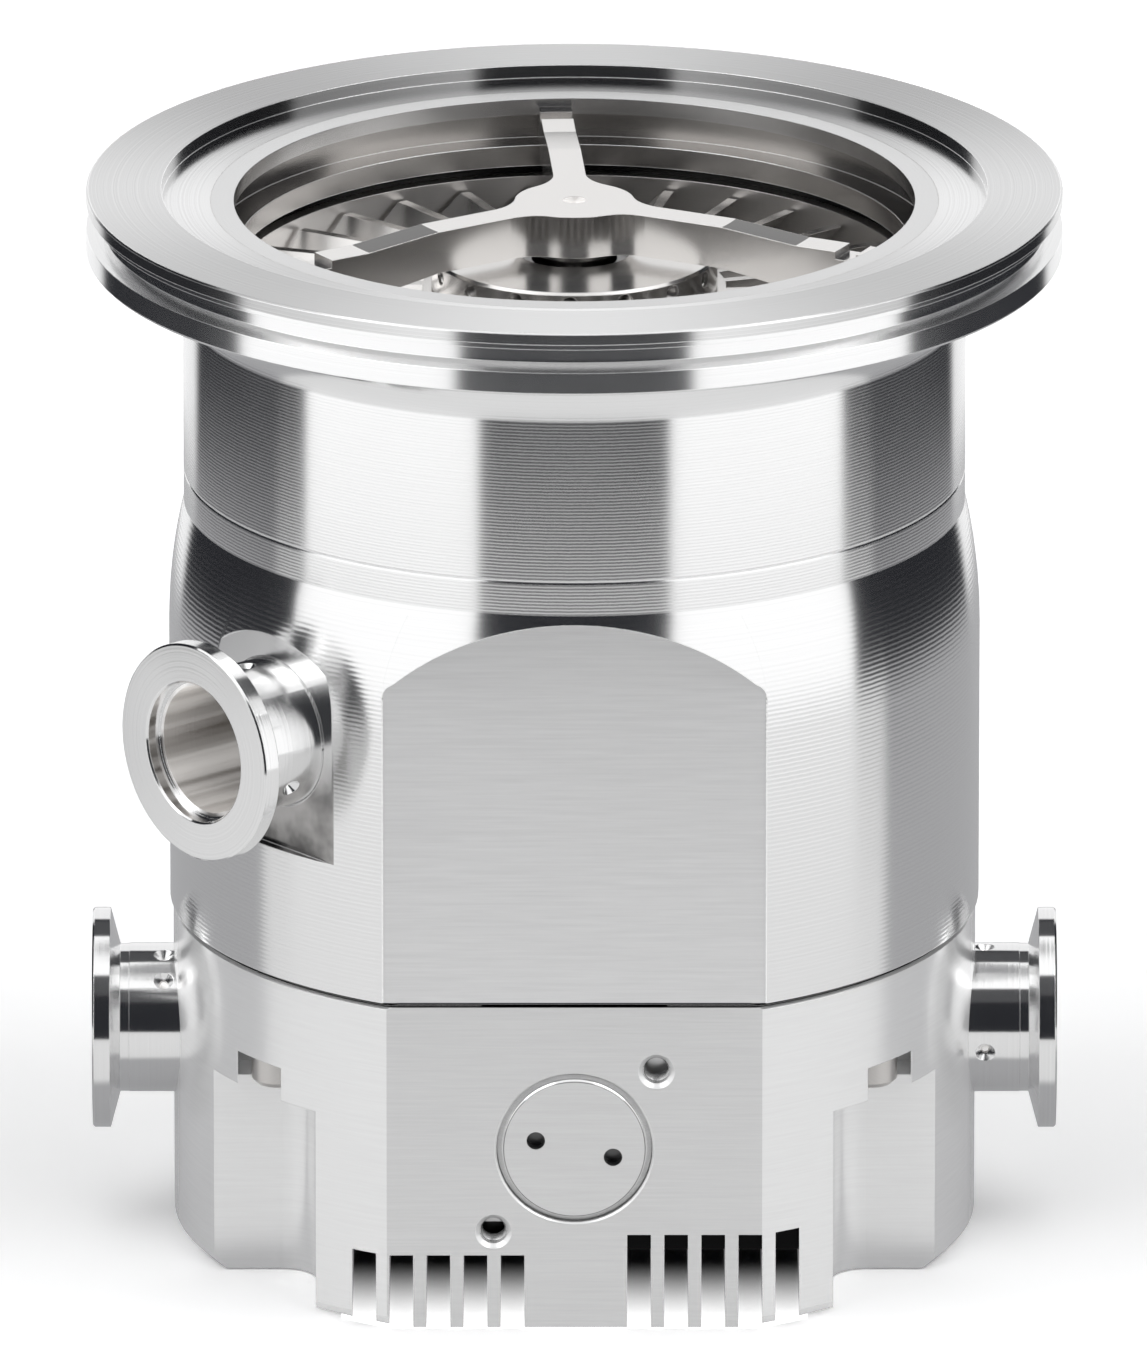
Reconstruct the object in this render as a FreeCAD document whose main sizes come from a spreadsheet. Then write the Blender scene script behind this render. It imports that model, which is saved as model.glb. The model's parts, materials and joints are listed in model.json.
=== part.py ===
import FreeCAD, Part
import math
import os
import re
import Sketcher

# A turbomolecular pump with a large clamp flange at its inlet, three small flanged ports and a
# bladed rotor. Lengths are in millimetres and angles in degrees. The origin is at the centre of
# the foot, +Z is up along the rotor's axis, and the flat front of the pump faces -Y.

SIZES = {
    # Overall levels
    "total_height": 199.6,
    "seam_height": 62.2,
    # Broken edges, and how far a cut or a joined shape runs past a face
    "edge_break": 0.5,
    "fine_break": 0.35,
    "cut_over": 1,
    # Inlet flange, DN 160
    "inlet_radius": 90,
    "inlet_thickness": 12,
    "rim_land": 2.3,
    "rim_step": 0.8,
    "rim_groove_depth": 2.8,
    "rim_groove_top": 3.8,
    "rim_groove_width": 2.6,
    "rim_bevel": 1.2,
    "recess_radius": 76.15,
    "recess_depth": 2.4,
    "throat_radius": 62.8,
    "lip_height": 3,
    # Seat of the bearing holder inside the throat
    "seat_radius": 67.1,
    "seat_height": 5.7,
    "ledge_radius": 61.9,
    "ledge_height": 4,
    # Envelope
    "stack_radius": 64.6,
    "neck_radius": 72.2,
    "neck_fillet": 10.6,
    "neck_edge_height": 139.8,
    "scribe_rise": 6.5,
    "scribe_width": 0.5,
    "shoulder_height": 116,
    "body_radius": 75,
    "seam_gap": 0.9,
    "seam_rebate": 1.5,
    "flat_distance": 65.9,
    "flat_seam_gap": 0.6,
    "arch_side_height": 123.5,
    "arch_half_width": 34.6,
    "arch_flare": 0.6,
    "arch_radius": 48.3,
    "arch_corner": 2.5,
    "arch_corner_radius": 3.25,
    # Interstage port on the envelope
    "interstage_turn": 49,
    "interstage_height": 109.8,
    "interstage_reach": 92.6,
    "interstage_seat": 67,
    "interstage_passage": 11.5,
    "pad_distance": 73.2,
    "pad_half_width": 20,
    "pad_rise": 18.8,
    "pad_arch_radius": 26.5,
    "pad_drop": 21.8,
    # Small flanged nozzles, DN 25
    "nozzle_rim_radius": 20.45,
    "nozzle_rim_width": 3.3,
    "nozzle_cone": 1.8,
    "nozzle_radius": 13.85,
    "nozzle_step": 0.1,
    "nozzle_step_length": 1.7,
    "nozzle_recess_radius": 13.1,
    "nozzle_recess_depth": 3,
    "nozzle_bore": 12,
    "nozzle_clearance": 0.05,
    "grip_hole_radius": 1.85,
    "grip_hole_depth": 1.5,
    "grip_hole_taper": 42,
    "grip_hole_setback": 13.2,
    "seal_radius": 0.9,
    # Base
    "base_radius": 74.4,
    "foot_bevel": 2,
    "port_reach": 89.4,
    "port_height": 38,
    "port_seat": 60,
    "port_hole_radius": 10,
    "pocket_wall": 47.7,
    "pocket_floor": 33,
    "pocket_height": 39,
    "pocket_fillet": 6.3,
    "window_inner": 54.1,
    "window_width": 8,
    "window_top": 45.3,
    "window_depth": 8,
    "fin_slot_width": 4.35,
    "fin_pitch": 6.83,
    "fin_first_left": 11.4,
    "fin_first_right": 11.9,
    "fin_height_left": 14,
    "fin_height_right": 18,
    "fin_depth": 44,
    "fin_count": 5,
    "plenum_inner": 44,
    "plenum_outer": 54,
    "plenum_floor": 30,
    "plenum_overlap": 3,
    "wire_hole_radius": 3,
    "wire_hole_height": 26,
    "well_radius": 60,
    "well_depth": 6.2,
    "spigot_radius": 64.5,
    "spigot_height": 5,
    "plug_radius": 14.25,
    "plug_height": 34.7,
    "plug_length": 8,
    "plug_bevel": 1.3,
    "vent_passage_radius": 7.2,
    "vent_passage_height": 37,
    "plug_gap": 0.1,
    "pin_hole_radius": 1.7,
    "pin_hole_x": 7.1,
    "pin_hole_rise": 1.6,
    "pin_hole_depth": 3,
    "tapped_radius": 2.5,
    "tapped_sink": 0.85,
    "tapped_depth": 6.5,
    "upper_tapped_x": 15.1,
    "upper_tapped_height": 49.7,
    "lower_tapped_x": 14.9,
    "lower_tapped_height": 18.6,
    # Screws that hold the envelope to the base
    "screw_x": 54.7,
    "screw_y": 40.6,
    "screw_radius": 3,
    "screw_clearance": 0.2,
    "screw_grip": 10,
    "thread_spare": 2,
    "head_radius": 4.9,
    "head_height": 6,
    "head_bevel": 1,
    "hex_radius": 2.89,
    "hex_depth": 3.6,
    # Bearing holder with three arms
    "spider_turn": 3.3,
    "spider_sink": 0.2,
    "hub_radius": 11,
    "hub_height": 7.9,
    "hub_fillet": 9,
    "arm_width": 6,
    "arm_ramp_start": 31.8,
    "arm_ramp_end": 47,
    "arm_ramp_drop": 1.4,
    "arm_height": 8.7,
    "arm_groove_start": 55.2,
    "arm_groove_width": 4.2,
    "arm_groove_depth": 1.45,
    "arm_reach": 62.5,
    "foot_reach": 66.6,
    "boss_radius": 9,
    "boss_drop": 3.9,
    "spindle_radius": 3,
    "spindle_length": 23.5,
    "spindle_clearance": 1,
    "dimple_radius": 2.4,
    "dimple_depth": 0.35,
    "fixed_magnet_radius": 5.9,
    "fixed_magnet_length": 15,
    "touch_radius": 5.6,
    "touch_height": 3.2,
    # Rotor
    "running_gap": 0.4,
    "collar_gap": 1.9,
    "balance_radius": 26.4,
    "balance_height": 6.2,
    "balance_hole_radius": 1.5,
    "balance_hole_depth": 6,
    "balance_hole_drop": 2.2,
    "balance_hole_turn": 1.8,
    "balance_hole_count": 16,
    "rotor_core_radius": 24,
    "rotor_floor": 5,
    "rotor_bore": 10.5,
    "rotor_magnet_wall": 2.6,
    "rotor_magnet_length": 16,
    "root_radius": 28,
    "blade_root": 1.5,
    "tip_radius": 61.5,
    "tip_space": 4.1,
    "row_gap": 1.6,
    "rotor_row_a": 9,
    "rotor_row_b": 7.6,
    "rotor_row_c": 6.8,
    "stator_row_a": 6.2,
    "stator_row_b": 6,
    "stator_row_c": 5.4,
    "blade_count": 30,
    "blade_angle": 42,
    "blade_thickness": 1.3,
    # Stack of stators and spacers
    "spacer_wall": 2.5,
    "fit_gap": 0.05,
    "rim_plate": 1.2,
    "stator_rim_radius": 59.5,
    "stator_root_wall": 1.6,
    "stator_root_gap": 0.8,
    # Drag stage
    "bell_top_rise": 35.8,
    "bell_disc": 5,
    "bell_radius": 51.9,
    "bell_wall": 2,
    "bell_bottom_rise": 6,
    "drag_gap": 0.5,
    "drag_channel_width": 14,
    "drag_channel_depth": 4,
    "drag_channel_count": 8,
    "inner_stator_wall": 10,
    "inner_foot_width": 6,
    "inner_foot_height": 3,
    "inner_foot_slope": 1,
    # Shaft, motor and lower bearing
    "shaft_radius": 8,
    "shaft_clearance": 1,
    "shaft_bottom": 6,
    "motor_seat_radius": 7,
    "bearing_seat_radius": 5,
    "sleeve_radius": 13,
    "sleeve_length": 24,
    "motor_bore": 24,
    "motor_floor": 22,
    "core_height": 22,
    "core_wall": 10,
    "winding_height": 4.4,
    "winding_wall": 6,
    "winding_clearance": 1,
    "bearing_bottom": 12,
    "bearing_height": 7,
    "bearing_radius": 11.5,
    "race_wall": 1.7,
    "ball_radius": 1.6,
    "ball_gap": 0.06,
    "ball_count": 8,
    "cage_wall": 1.1,
    "cage_height": 4.6,
    "damper_radius": 1.1,
    "damper_inset": 0.5,
    "housing_top": 20,
    "cartridge_radius": 20,
    "cartridge_top": 9.4,
    "cover_thickness": 3,
    "cover_recess": 0.6,
    "cover_slot": 2,
    "felt_radius": 17,
    "felt_gap": 1.5,
    "felt_clearance": 0.3,
    "nut_length": 3,
    "nut_wall": 0.8,
    # Connector on the back of the base
    "back_distance": 66,
    "socket_width": 46,
    "socket_height": 24,
    "socket_level": 34,
    "socket_plate": 3,
    "shell_width": 26,
    "shell_height": 11,
    "shell_length": 8,
    "shell_wall": 1,
    "contact_radius": 0.6,
    "contact_pitch": 2.8,
    "contact_inset": 1,
    "contact_count": 8,
    "small_screw_x": 18.5,
    "small_screw_radius": 1.5,
    "small_screw_grip": 5,
    "small_head_radius": 2.8,
    "small_head_height": 1.8,
}

DOC = FreeCAD.newDocument("TurboPump")
SHEET = DOC.addObject("Spreadsheet::Sheet", "Sizes")
for row, (name, size) in enumerate(SIZES.items(), start=1):
    SHEET.set(f"A{row}", name)
    SHEET.set(f"B{row}", str(size))
    SHEET.setAlias(f"B{row}", name)
DOC.recompute()

# Levels and distances that follow from the sizes above
RECESS_FLOOR = "(total_height - recess_depth)"
LIP_BOTTOM = f"({RECESS_FLOOR} - lip_height)"
LEDGE_TOP = f"({LIP_BOTTOM} - seat_height)"
LEDGE_BOTTOM = f"({LEDGE_TOP} - ledge_height)"
FLANGE_BOTTOM = "(total_height - inlet_thickness)"
SPIDER_TOP = f"({RECESS_FLOOR} - spider_sink)"
HUB_BOTTOM = f"({SPIDER_TOP} - hub_height)"
ARM_TOP = f"({SPIDER_TOP} - arm_ramp_drop)"
ARM_BOTTOM = f"({ARM_TOP} - arm_height)"
ROTOR_TOP = f"({HUB_BOTTOM} - collar_gap)"
STACK_BOTTOM = "(seam_height + spigot_height)"
BELL_TOP = "(seam_height + bell_top_rise)"
WELL_FLOOR = "(seam_height - well_depth)"
NOZZLE_NECK = "(nozzle_rim_width + nozzle_cone)"
ROTOR_ROWS = ["rotor_row_a", "rotor_row_b", "rotor_row_c"]
STATOR_ROWS = ["stator_row_a", "stator_row_b", "stator_row_c"]
MAGNET_BOTTOM = f"({HUB_BOTTOM} - boss_drop - fixed_magnet_length)"
ROTOR_STEP = f"({MAGNET_BOTTOM} - running_gap)"
ROTOR_BORE_FLOOR = f"({HUB_BOTTOM} - spindle_length - spindle_clearance)"
SHAFT_TOP = f"({ROTOR_BORE_FLOOR} - rotor_floor)"
BALANCE_BOTTOM = f"({ROTOR_TOP} - balance_height)"
BEARING_BORE = "(bearing_radius + 2 * damper_radius)"
BEARING_MIDDLE = "(bearing_bottom + bearing_height / 2)"
BALL_CIRCLE = "((bearing_seat_radius + bearing_radius) / 2)"
ROOT_BORE = "(root_radius + stator_root_gap)"
CORE_BOTTOM = "(motor_floor + winding_height + winding_clearance)"
SLEEVE_TOP = f"({CORE_BOTTOM} + sleeve_length)"
SCREW_SIDES = [(-1, -1), (1, -1), (1, 1), (-1, 1)]
# Two lengths count as the same where they differ by less than this
NEAR = 1e-4

# Where the grip holes stand round each nozzle, in degrees
GRIP_TURNS = {"left": (-75, -48), "right": (89, -10), "interstage": (-2, 119)}


def formula(text):
    """Put the sheet's name before each size that a formula names."""
    return re.sub(r"[a-z_]+", lambda word: "Sizes." + word[0] if word[0] in SIZES else word[0], str(text))


def value(text):
    """The number that a formula gives with the sizes as they are."""
    return float(SHEET.evalExpression(formula(text)))


def new_body(label):
    """An empty body whose label names its file."""
    body = DOC.addObject("PartDesign::Body", label)
    body.Label = label
    return body


def new_sketch(body, role, offset="0", turn="0"):
    """A sketch on one of the body's own planes, moved out along its normal.

    A turn swings a sketch on the XZ plane about the vertical axis, from the front to the left.
    """
    sketch = body.newObject("Sketcher::SketchObject", body.Label + "_sketch")
    plane = [feature for feature in body.Origin.OriginFeatures if feature.Role == role][0]
    sketch.AttachmentSupport = [(plane, "")]
    sketch.MapMode = "FlatFace"
    spin = FreeCAD.Rotation(FreeCAD.Vector(0, -1, 0), value(turn))
    sketch.AttachmentOffset = FreeCAD.Placement(FreeCAD.Vector(), spin)
    sketch.setExpression(".AttachmentOffset.Base.x", formula(f"-({offset}) * sin({turn})"))
    sketch.setExpression(".AttachmentOffset.Base.z", formula(f"({offset}) * cos({turn})"))
    return sketch


def at_point(geometry, point, x, y):
    """The two limits that hold a point of a sketch where two formulas say."""
    return [("DistanceX", (-1, 1, geometry, point), x), ("DistanceY", (-1, 1, geometry, point), y)]


def bind(sketch, joins, limits):
    """Give a sketch its constraints, and bind the sized ones to the sheet."""
    sized = [Sketcher.Constraint(kind, *places, value(text)) for kind, places, text in limits]
    numbers = sketch.addConstraint(joins + sized)
    for number, (_, _, text) in zip(numbers[len(joins):], limits):
        sketch.setExpression(f"Constraints[{number}]", formula(text))


def arc_between(start, end, radius):
    """The arc from start to end that turns less than half a circle, anticlockwise if radius > 0."""
    chord = end - start
    rise = math.sqrt(radius ** 2 - chord.Length ** 2 / 4)
    left = FreeCAD.Vector(-chord.y, chord.x, 0).normalize()
    centre = (start + end) / 2 + left * math.copysign(rise, radius)
    first, last = (start, end) if radius > 0 else (end, start)
    angles = [math.atan2(point.y - centre.y, point.x - centre.x) for point in (first, last)]
    circle = Part.Circle(centre, FreeCAD.Vector(0, 0, 1), abs(radius))
    return Part.ArcOfCircle(circle, angles[0], angles[1])


def draw_outline(sketch, corners):
    """Draw a closed outline whose corners are pairs of formulas.

    A third entry is the radius of the arc that leads on to the next corner: it turns
    anticlockwise, or clockwise where its value is negative.
    """
    points = [FreeCAD.Vector(value(corner[0]), value(corner[1]), 0) for corner in corners]
    ends = []
    limits = []
    for number, corner in enumerate(corners):
        start, end = points[number], points[(number + 1) % len(corners)]
        if len(corner) == 2:
            edge = sketch.addGeometry(Part.LineSegment(start, end), False)
            ends.append((edge, 1, 2))
            continue
        radius = value(corner[2])
        edge = sketch.addGeometry(arc_between(start, end, radius), False)
        ends.append((edge, 1, 2) if radius > 0 else (edge, 2, 1))
        limits.append(("Radius", (edge,), f"abs({corner[2]})"))
    joins = []
    for number, (edge, first, last) in enumerate(ends):
        following, next_first, _ = ends[(number + 1) % len(ends)]
        joins.append(Sketcher.Constraint("Coincident", edge, last, following, next_first))
        limits.extend(at_point(edge, first, corners[number][0], corners[number][1]))
    bind(sketch, joins, limits)


def draw_circle(sketch, x, y, radius):
    """Draw a circle whose centre and radius are formulas."""
    centre = FreeCAD.Vector(value(x), value(y), 0)
    circle = Part.Circle(centre, FreeCAD.Vector(0, 0, 1), value(radius))
    edge = sketch.addGeometry(circle, False)
    bind(sketch, [], at_point(edge, 3, x, y) + [("Radius", (edge,), radius)])


def box_corners(left, bottom, right, top):
    """The corners of a rectangle."""
    return [(left, bottom), (right, bottom), (right, top), (left, top)]


def revolve(body, sketch, cut=False, half=False):
    """Turn a sketch about its vertical axis, as a solid or as a cut, or only round the front half."""
    kind = "PartDesign::Groove" if cut else "PartDesign::Revolution"
    feature = body.newObject(kind, body.Label + "_turned")
    feature.Profile = sketch
    feature.ReferenceAxis = (sketch, ["V_Axis"])
    feature.Angle = 180 if half else 360
    feature.Reversed = half
    return feature


def pad(body, sketch, length):
    """Raise a sketch along its normal."""
    feature = body.newObject("PartDesign::Pad", body.Label + "_pad")
    feature.Profile = sketch
    feature.setExpression("Length", formula(length))
    return feature


def cut(body, sketch, length, outward=False):
    """Sink a sketch against its normal, or along it where outward is set, and check that it cuts."""
    DOC.recompute()
    before = body.Shape.Volume
    feature = body.newObject("PartDesign::Pocket", body.Label + "_cut")
    feature.Profile = sketch
    feature.Reversed = outward
    feature.setExpression("Length", formula(length))
    DOC.recompute()
    if not feature.Shape.Volume < before:
        raise RuntimeError(f"a cut in {body.Label} removes nothing")
    return feature


def pattern(body, features, count, angle=360):
    """Repeat features about the vertical axis."""
    repeat = body.newObject("PartDesign::PolarPattern", body.Label + "_pattern")
    axis = [feature for feature in body.Origin.OriginFeatures if feature.Role == "Z_Axis"][0]
    repeat.Originals = features
    repeat.Axis = (axis, [""])
    repeat.Angle = angle
    repeat.setExpression("Occurrences", formula(count))
    body.Tip = repeat
    return repeat


def ring(label, inner, outer, bottom, top):
    """A plain ring about the vertical axis, or a disc where the inner radius is 0."""
    body = new_body(label)
    sketch = new_sketch(body, "XZ_Plane")
    draw_outline(sketch, box_corners(inner, bottom, outer, top))
    revolve(body, sketch)
    return body


def seal_ring(label, radius, level, section="seal_radius"):
    """A round-section seal about the vertical axis."""
    body = new_body(label)
    sketch = new_sketch(body, "XZ_Plane")
    draw_circle(sketch, radius, level, section)
    revolve(body, sketch)
    return body


def place(body, x, y, z, rotation=FreeCAD.Rotation()):
    """Put a body at the point that three formulas give."""
    body.Placement = FreeCAD.Placement(FreeCAD.Vector(value(x), value(y), value(z)), rotation)
    for axis, text in (("x", x), ("y", y), ("z", z)):
        body.setExpression(f".Placement.Base.{axis}", formula(text))


def make_envelope():
    """The upper housing: inlet flange, neck, tapered shoulder and body, with its bore."""
    body = new_body("envelope")
    sketch = new_sketch(body, "XZ_Plane")
    step_radius = "(inlet_radius - rim_step)"
    groove_radius = "(inlet_radius - rim_groove_depth)"
    groove_top = "(total_height - rim_groove_top)"
    groove_bottom = f"({groove_top} - rim_groove_width)"
    scribe_height = "(neck_edge_height + scribe_rise)"
    rise = "(neck_edge_height - shoulder_height)"
    swell = "(body_radius - neck_radius)"
    shoulder_radius = f"(({rise} ^ 2 + {swell} ^ 2) / (2 * {swell}))"
    rebate_radius = "(body_radius - seam_rebate)"
    draw_outline(sketch, [
        ("stack_radius", "seam_height"),
        (rebate_radius, "seam_height"),
        (rebate_radius, "seam_height + seam_gap"),
        ("body_radius", "seam_height + seam_gap"),
        ("body_radius", "shoulder_height", shoulder_radius),
        ("neck_radius", "neck_edge_height"),
        ("neck_radius", f"{scribe_height} - scribe_width"),
        ("neck_radius - scribe_width / 2", scribe_height),
        ("neck_radius", scribe_height),
        ("neck_radius", f"{FLANGE_BOTTOM} - neck_fillet", "-neck_fillet"),
        ("neck_radius + neck_fillet", FLANGE_BOTTOM),
        ("inlet_radius - edge_break", FLANGE_BOTTOM),
        ("inlet_radius", f"{FLANGE_BOTTOM} + edge_break"),
        ("inlet_radius", f"{groove_bottom} - rim_bevel"),
        (groove_radius, groove_bottom),
        (groove_radius, groove_top),
        (step_radius, f"{groove_top} + fine_break"),
        (step_radius, "total_height - rim_land"),
        ("inlet_radius", "total_height - rim_land"),
        ("inlet_radius", "total_height - fine_break"),
        ("inlet_radius - fine_break", "total_height"),
        ("recess_radius", "total_height"),
        ("recess_radius", RECESS_FLOOR),
        ("seat_radius", RECESS_FLOOR),
        ("seat_radius", LEDGE_TOP),
        ("ledge_radius", LEDGE_TOP),
        ("ledge_radius", LEDGE_BOTTOM),
        ("stack_radius", LEDGE_BOTTOM),
    ])
    revolve(body, sketch)

    flat = new_sketch(body, "XZ_Plane", "flat_distance")
    side_x = "(arch_half_width + arch_flare)"
    corner_x = "(arch_half_width - arch_corner / 2)"
    corner_height = "arch_side_height + arch_corner / 2"
    draw_outline(flat, [
        (f"-{side_x}", "seam_height - cut_over"),
        (side_x, "seam_height - cut_over"),
        (side_x, "arch_side_height - arch_corner", "arch_corner_radius"),
        (corner_x, corner_height, "arch_radius"),
        (f"-{corner_x}", corner_height, "arch_corner_radius"),
        (f"-{side_x}", "arch_side_height - arch_corner"),
    ])
    cut(body, flat, "body_radius - flat_distance + cut_over", outward=True)
    rebate = new_sketch(body, "XZ_Plane", "flat_distance - seam_gap")
    draw_outline(rebate, box_corners("-body_radius / 2", "seam_height - cut_over", "body_radius / 2",
                                     "seam_height + flat_seam_gap"))
    cut(body, rebate, "body_radius - flat_distance + cut_over", outward=True)
    cut_interstage_port(body)

    threads = new_sketch(body, "XY_Plane", "seam_height")
    for across, along in SCREW_SIDES:
        draw_circle(threads, f"{across} * screw_x", f"{along} * screw_y", "screw_radius")
    cut(body, threads, "screw_grip + thread_spare", outward=True)
    return body


def cut_interstage_port(body):
    """The milled pad at the front left, with the nozzle's socket and the passage behind it."""
    recess = new_sketch(body, "XZ_Plane", "pad_distance", "interstage_turn")
    bottom = "interstage_height - pad_drop"
    sag = "(pad_arch_radius - sqrt(pad_arch_radius ^ 2 - pad_half_width ^ 2))"
    corner_height = f"interstage_height + pad_rise - {sag}"
    draw_outline(recess, [
        ("-pad_half_width", bottom),
        ("pad_half_width", bottom),
        ("pad_half_width", corner_height, "pad_arch_radius"),
        ("-pad_half_width", corner_height),
    ])
    cut(body, recess, "body_radius - pad_distance + cut_over", outward=True)
    socket = new_sketch(body, "XZ_Plane", "pad_distance", "interstage_turn")
    draw_circle(socket, "0", "interstage_height", "nozzle_radius + nozzle_clearance")
    cut(body, socket, "pad_distance - interstage_seat")
    passage = new_sketch(body, "XZ_Plane", "pad_distance", "interstage_turn")
    draw_circle(passage, "0", "interstage_height", "interstage_passage")
    cut(body, passage, "pad_distance - stack_radius / 2")
    mouth = circle_facing("nozzle_radius + nozzle_clearance", "pad_distance", "interstage_turn")
    bevel(body, mouth, "fine_break")


def bevel(body, is_edge, size):
    """Chamfer the edges that a test picks."""
    DOC.recompute()
    names = [f"Edge{number}" for number, edge in enumerate(body.Shape.Edges, start=1) if is_edge(edge)]
    solid = body.Tip
    feature = body.newObject("PartDesign::Chamfer", body.Label + "_bevel")
    feature.Base = (solid, names)
    feature.setExpression("Size", formula(size))


def circle_facing(radius, distance, turn="0"):
    """A test for the round edges of one radius in a plane that faces the front, or is turned from it."""
    angle = math.radians(value(turn))
    outward = FreeCAD.Vector(-math.sin(angle), -math.cos(angle), 0)

    def test(edge):
        if not isinstance(edge.Curve, Part.Circle):
            return False
        right_size = abs(edge.Curve.Radius - value(radius)) < NEAR
        return right_size and abs(edge.Curve.Center.dot(outward) - value(distance)) < NEAR
    return test


def make_base():
    """The lower housing: foot, gas plenum, motor and bearing bores, ports and pockets."""
    body = new_body("base")
    sketch = new_sketch(body, "XZ_Plane")
    seal_floor = "(stack_radius - 2 * seal_radius)"
    seal_bottom = "(seam_height + spigot_height / 2 - seal_radius - fit_gap)"
    seal_top = "(seam_height + spigot_height / 2 + seal_radius + fit_gap)"
    draw_outline(sketch, [
        ("cartridge_radius", "0"),
        ("base_radius - foot_bevel", "0"),
        ("base_radius", "foot_bevel"),
        ("base_radius", "seam_height - edge_break"),
        ("base_radius - edge_break", "seam_height"),
        ("spigot_radius", "seam_height"),
        ("spigot_radius", seal_bottom),
        (seal_floor, seal_bottom),
        (seal_floor, seal_top),
        ("spigot_radius", seal_top),
        ("spigot_radius", STACK_BOTTOM),
        ("well_radius", STACK_BOTTOM),
        ("well_radius", WELL_FLOOR),
        ("plenum_outer", WELL_FLOOR),
        ("plenum_outer", "plenum_floor"),
        ("plenum_inner", "plenum_floor"),
        ("plenum_inner", WELL_FLOOR),
        ("motor_bore", WELL_FLOOR),
        ("motor_bore", "motor_floor"),
        ("shaft_radius + shaft_clearance", "motor_floor"),
        ("shaft_radius + shaft_clearance", "housing_top"),
        (BEARING_BORE, "housing_top"),
        (BEARING_BORE, "cartridge_top"),
        ("cartridge_radius", "cartridge_top"),
    ])
    revolve(body, sketch)
    cut_flats(body)
    cut_pockets(body)
    cut_fin_slots(body)
    cut_ports(body)
    cut_front_holes(body)
    return body


def cut_flats(body):
    """The flat front and the flat back that carries the connector."""
    front = new_sketch(body, "XZ_Plane", "flat_distance")
    sides = box_corners("-base_radius / 2", "-cut_over", "base_radius / 2", "seam_height + cut_over")
    draw_outline(front, sides)
    cut(body, front, "base_radius - flat_distance + cut_over", outward=True)
    back = new_sketch(body, "XZ_Plane", "-back_distance")
    draw_outline(back, sides)
    cut(body, back, "base_radius - back_distance + cut_over")


def cut_pockets(body):
    """Four corner pockets, and above each a window and a seat for the head of an envelope screw."""
    pockets = new_sketch(body, "XY_Plane")
    for across, along in SCREW_SIDES:
        far = "(base_radius + cut_over)"
        bend = "pocket_fillet" if across * along > 0 else "-pocket_fillet"
        draw_outline(pockets, [
            (f"{across} * (pocket_wall + pocket_fillet)", f"{along} * pocket_floor"),
            (f"{across} * {far}", f"{along} * pocket_floor"),
            (f"{across} * {far}", f"{along} * {far}"),
            (f"{across} * pocket_wall", f"{along} * {far}"),
            (f"{across} * pocket_wall", f"{along} * (pocket_floor + pocket_fillet)", bend),
        ])
    cut(body, pockets, "pocket_height", outward=True)
    for along in (-1, 1):
        distance = f"{-along} * (pocket_floor - window_depth)"
        windows = new_sketch(body, "XZ_Plane", distance)
        for across in (-1, 1):
            draw_outline(windows, box_corners(f"{across} * window_inner", "pocket_height - cut_over",
                                              f"{across} * (window_inner + window_width)", "window_top"))
        cut(body, windows, "base_radius", outward=along < 0)
    holes = new_sketch(body, "XY_Plane", "window_top - cut_over")
    seats = new_sketch(body, "XY_Plane", "window_top")
    for across, along in SCREW_SIDES:
        draw_circle(holes, f"{across} * screw_x", f"{along} * screw_y", "screw_radius + screw_clearance")
        draw_circle(seats, f"{across} * screw_x", f"{along} * screw_y", "head_radius + screw_clearance")
    cut(body, holes, "seam_height", outward=True)
    cut(body, seats, "window_top - pocket_height + cut_over")


def cut_fin_slots(body):
    """Two groups of cooling slots, open at the foot and at the front."""
    for first, top, side in (("fin_first_left", "fin_height_left", -1),
                             ("fin_first_right", "fin_height_right", 1)):
        slot = new_sketch(body, "XZ_Plane", "flat_distance - fin_depth")
        draw_outline(slot, box_corners(f"{side} * {first} - fin_slot_width / 2", "-cut_over",
                                       f"{side} * {first} + fin_slot_width / 2", top))
        cutter = cut(body, slot, "base_radius", outward=True)
        row = body.newObject("PartDesign::LinearPattern", "base_slots")
        row.Originals = [cutter]
        row.Direction = (slot, ["H_Axis"])
        row.Reversed = side < 0
        row.setExpression("Length", formula("(fin_count - 1) * fin_pitch"))
        row.setExpression("Occurrences", formula("fin_count"))
        body.Tip = row


def cut_ports(body):
    """The sockets of the side ports, the gas holes, and the holes for the connector and its wires."""
    for side in (-1, 1):
        seat = new_sketch(body, "YZ_Plane", f"{side} * port_seat")
        draw_circle(seat, "0", "port_height", "nozzle_radius + nozzle_clearance")
        cut(body, seat, "base_radius", outward=side > 0)
        passage = new_sketch(body, "YZ_Plane", f"{side} * (plenum_outer - plenum_overlap)")
        draw_circle(passage, "0", "port_height", "port_hole_radius")
        cut(body, passage, "base_radius", outward=side > 0)
    wires = new_sketch(body, "XZ_Plane", "-(motor_bore - plenum_overlap)")
    draw_circle(wires, "0", "wire_hole_height", "wire_hole_radius")
    cut(body, wires, "base_radius")
    threads = new_sketch(body, "XZ_Plane", "-(back_distance - small_screw_grip)")
    for side in (-1, 1):
        draw_circle(threads, f"{side} * small_screw_x", "socket_level", "small_screw_radius")
    cut(body, threads, "small_screw_grip + cut_over")


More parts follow.
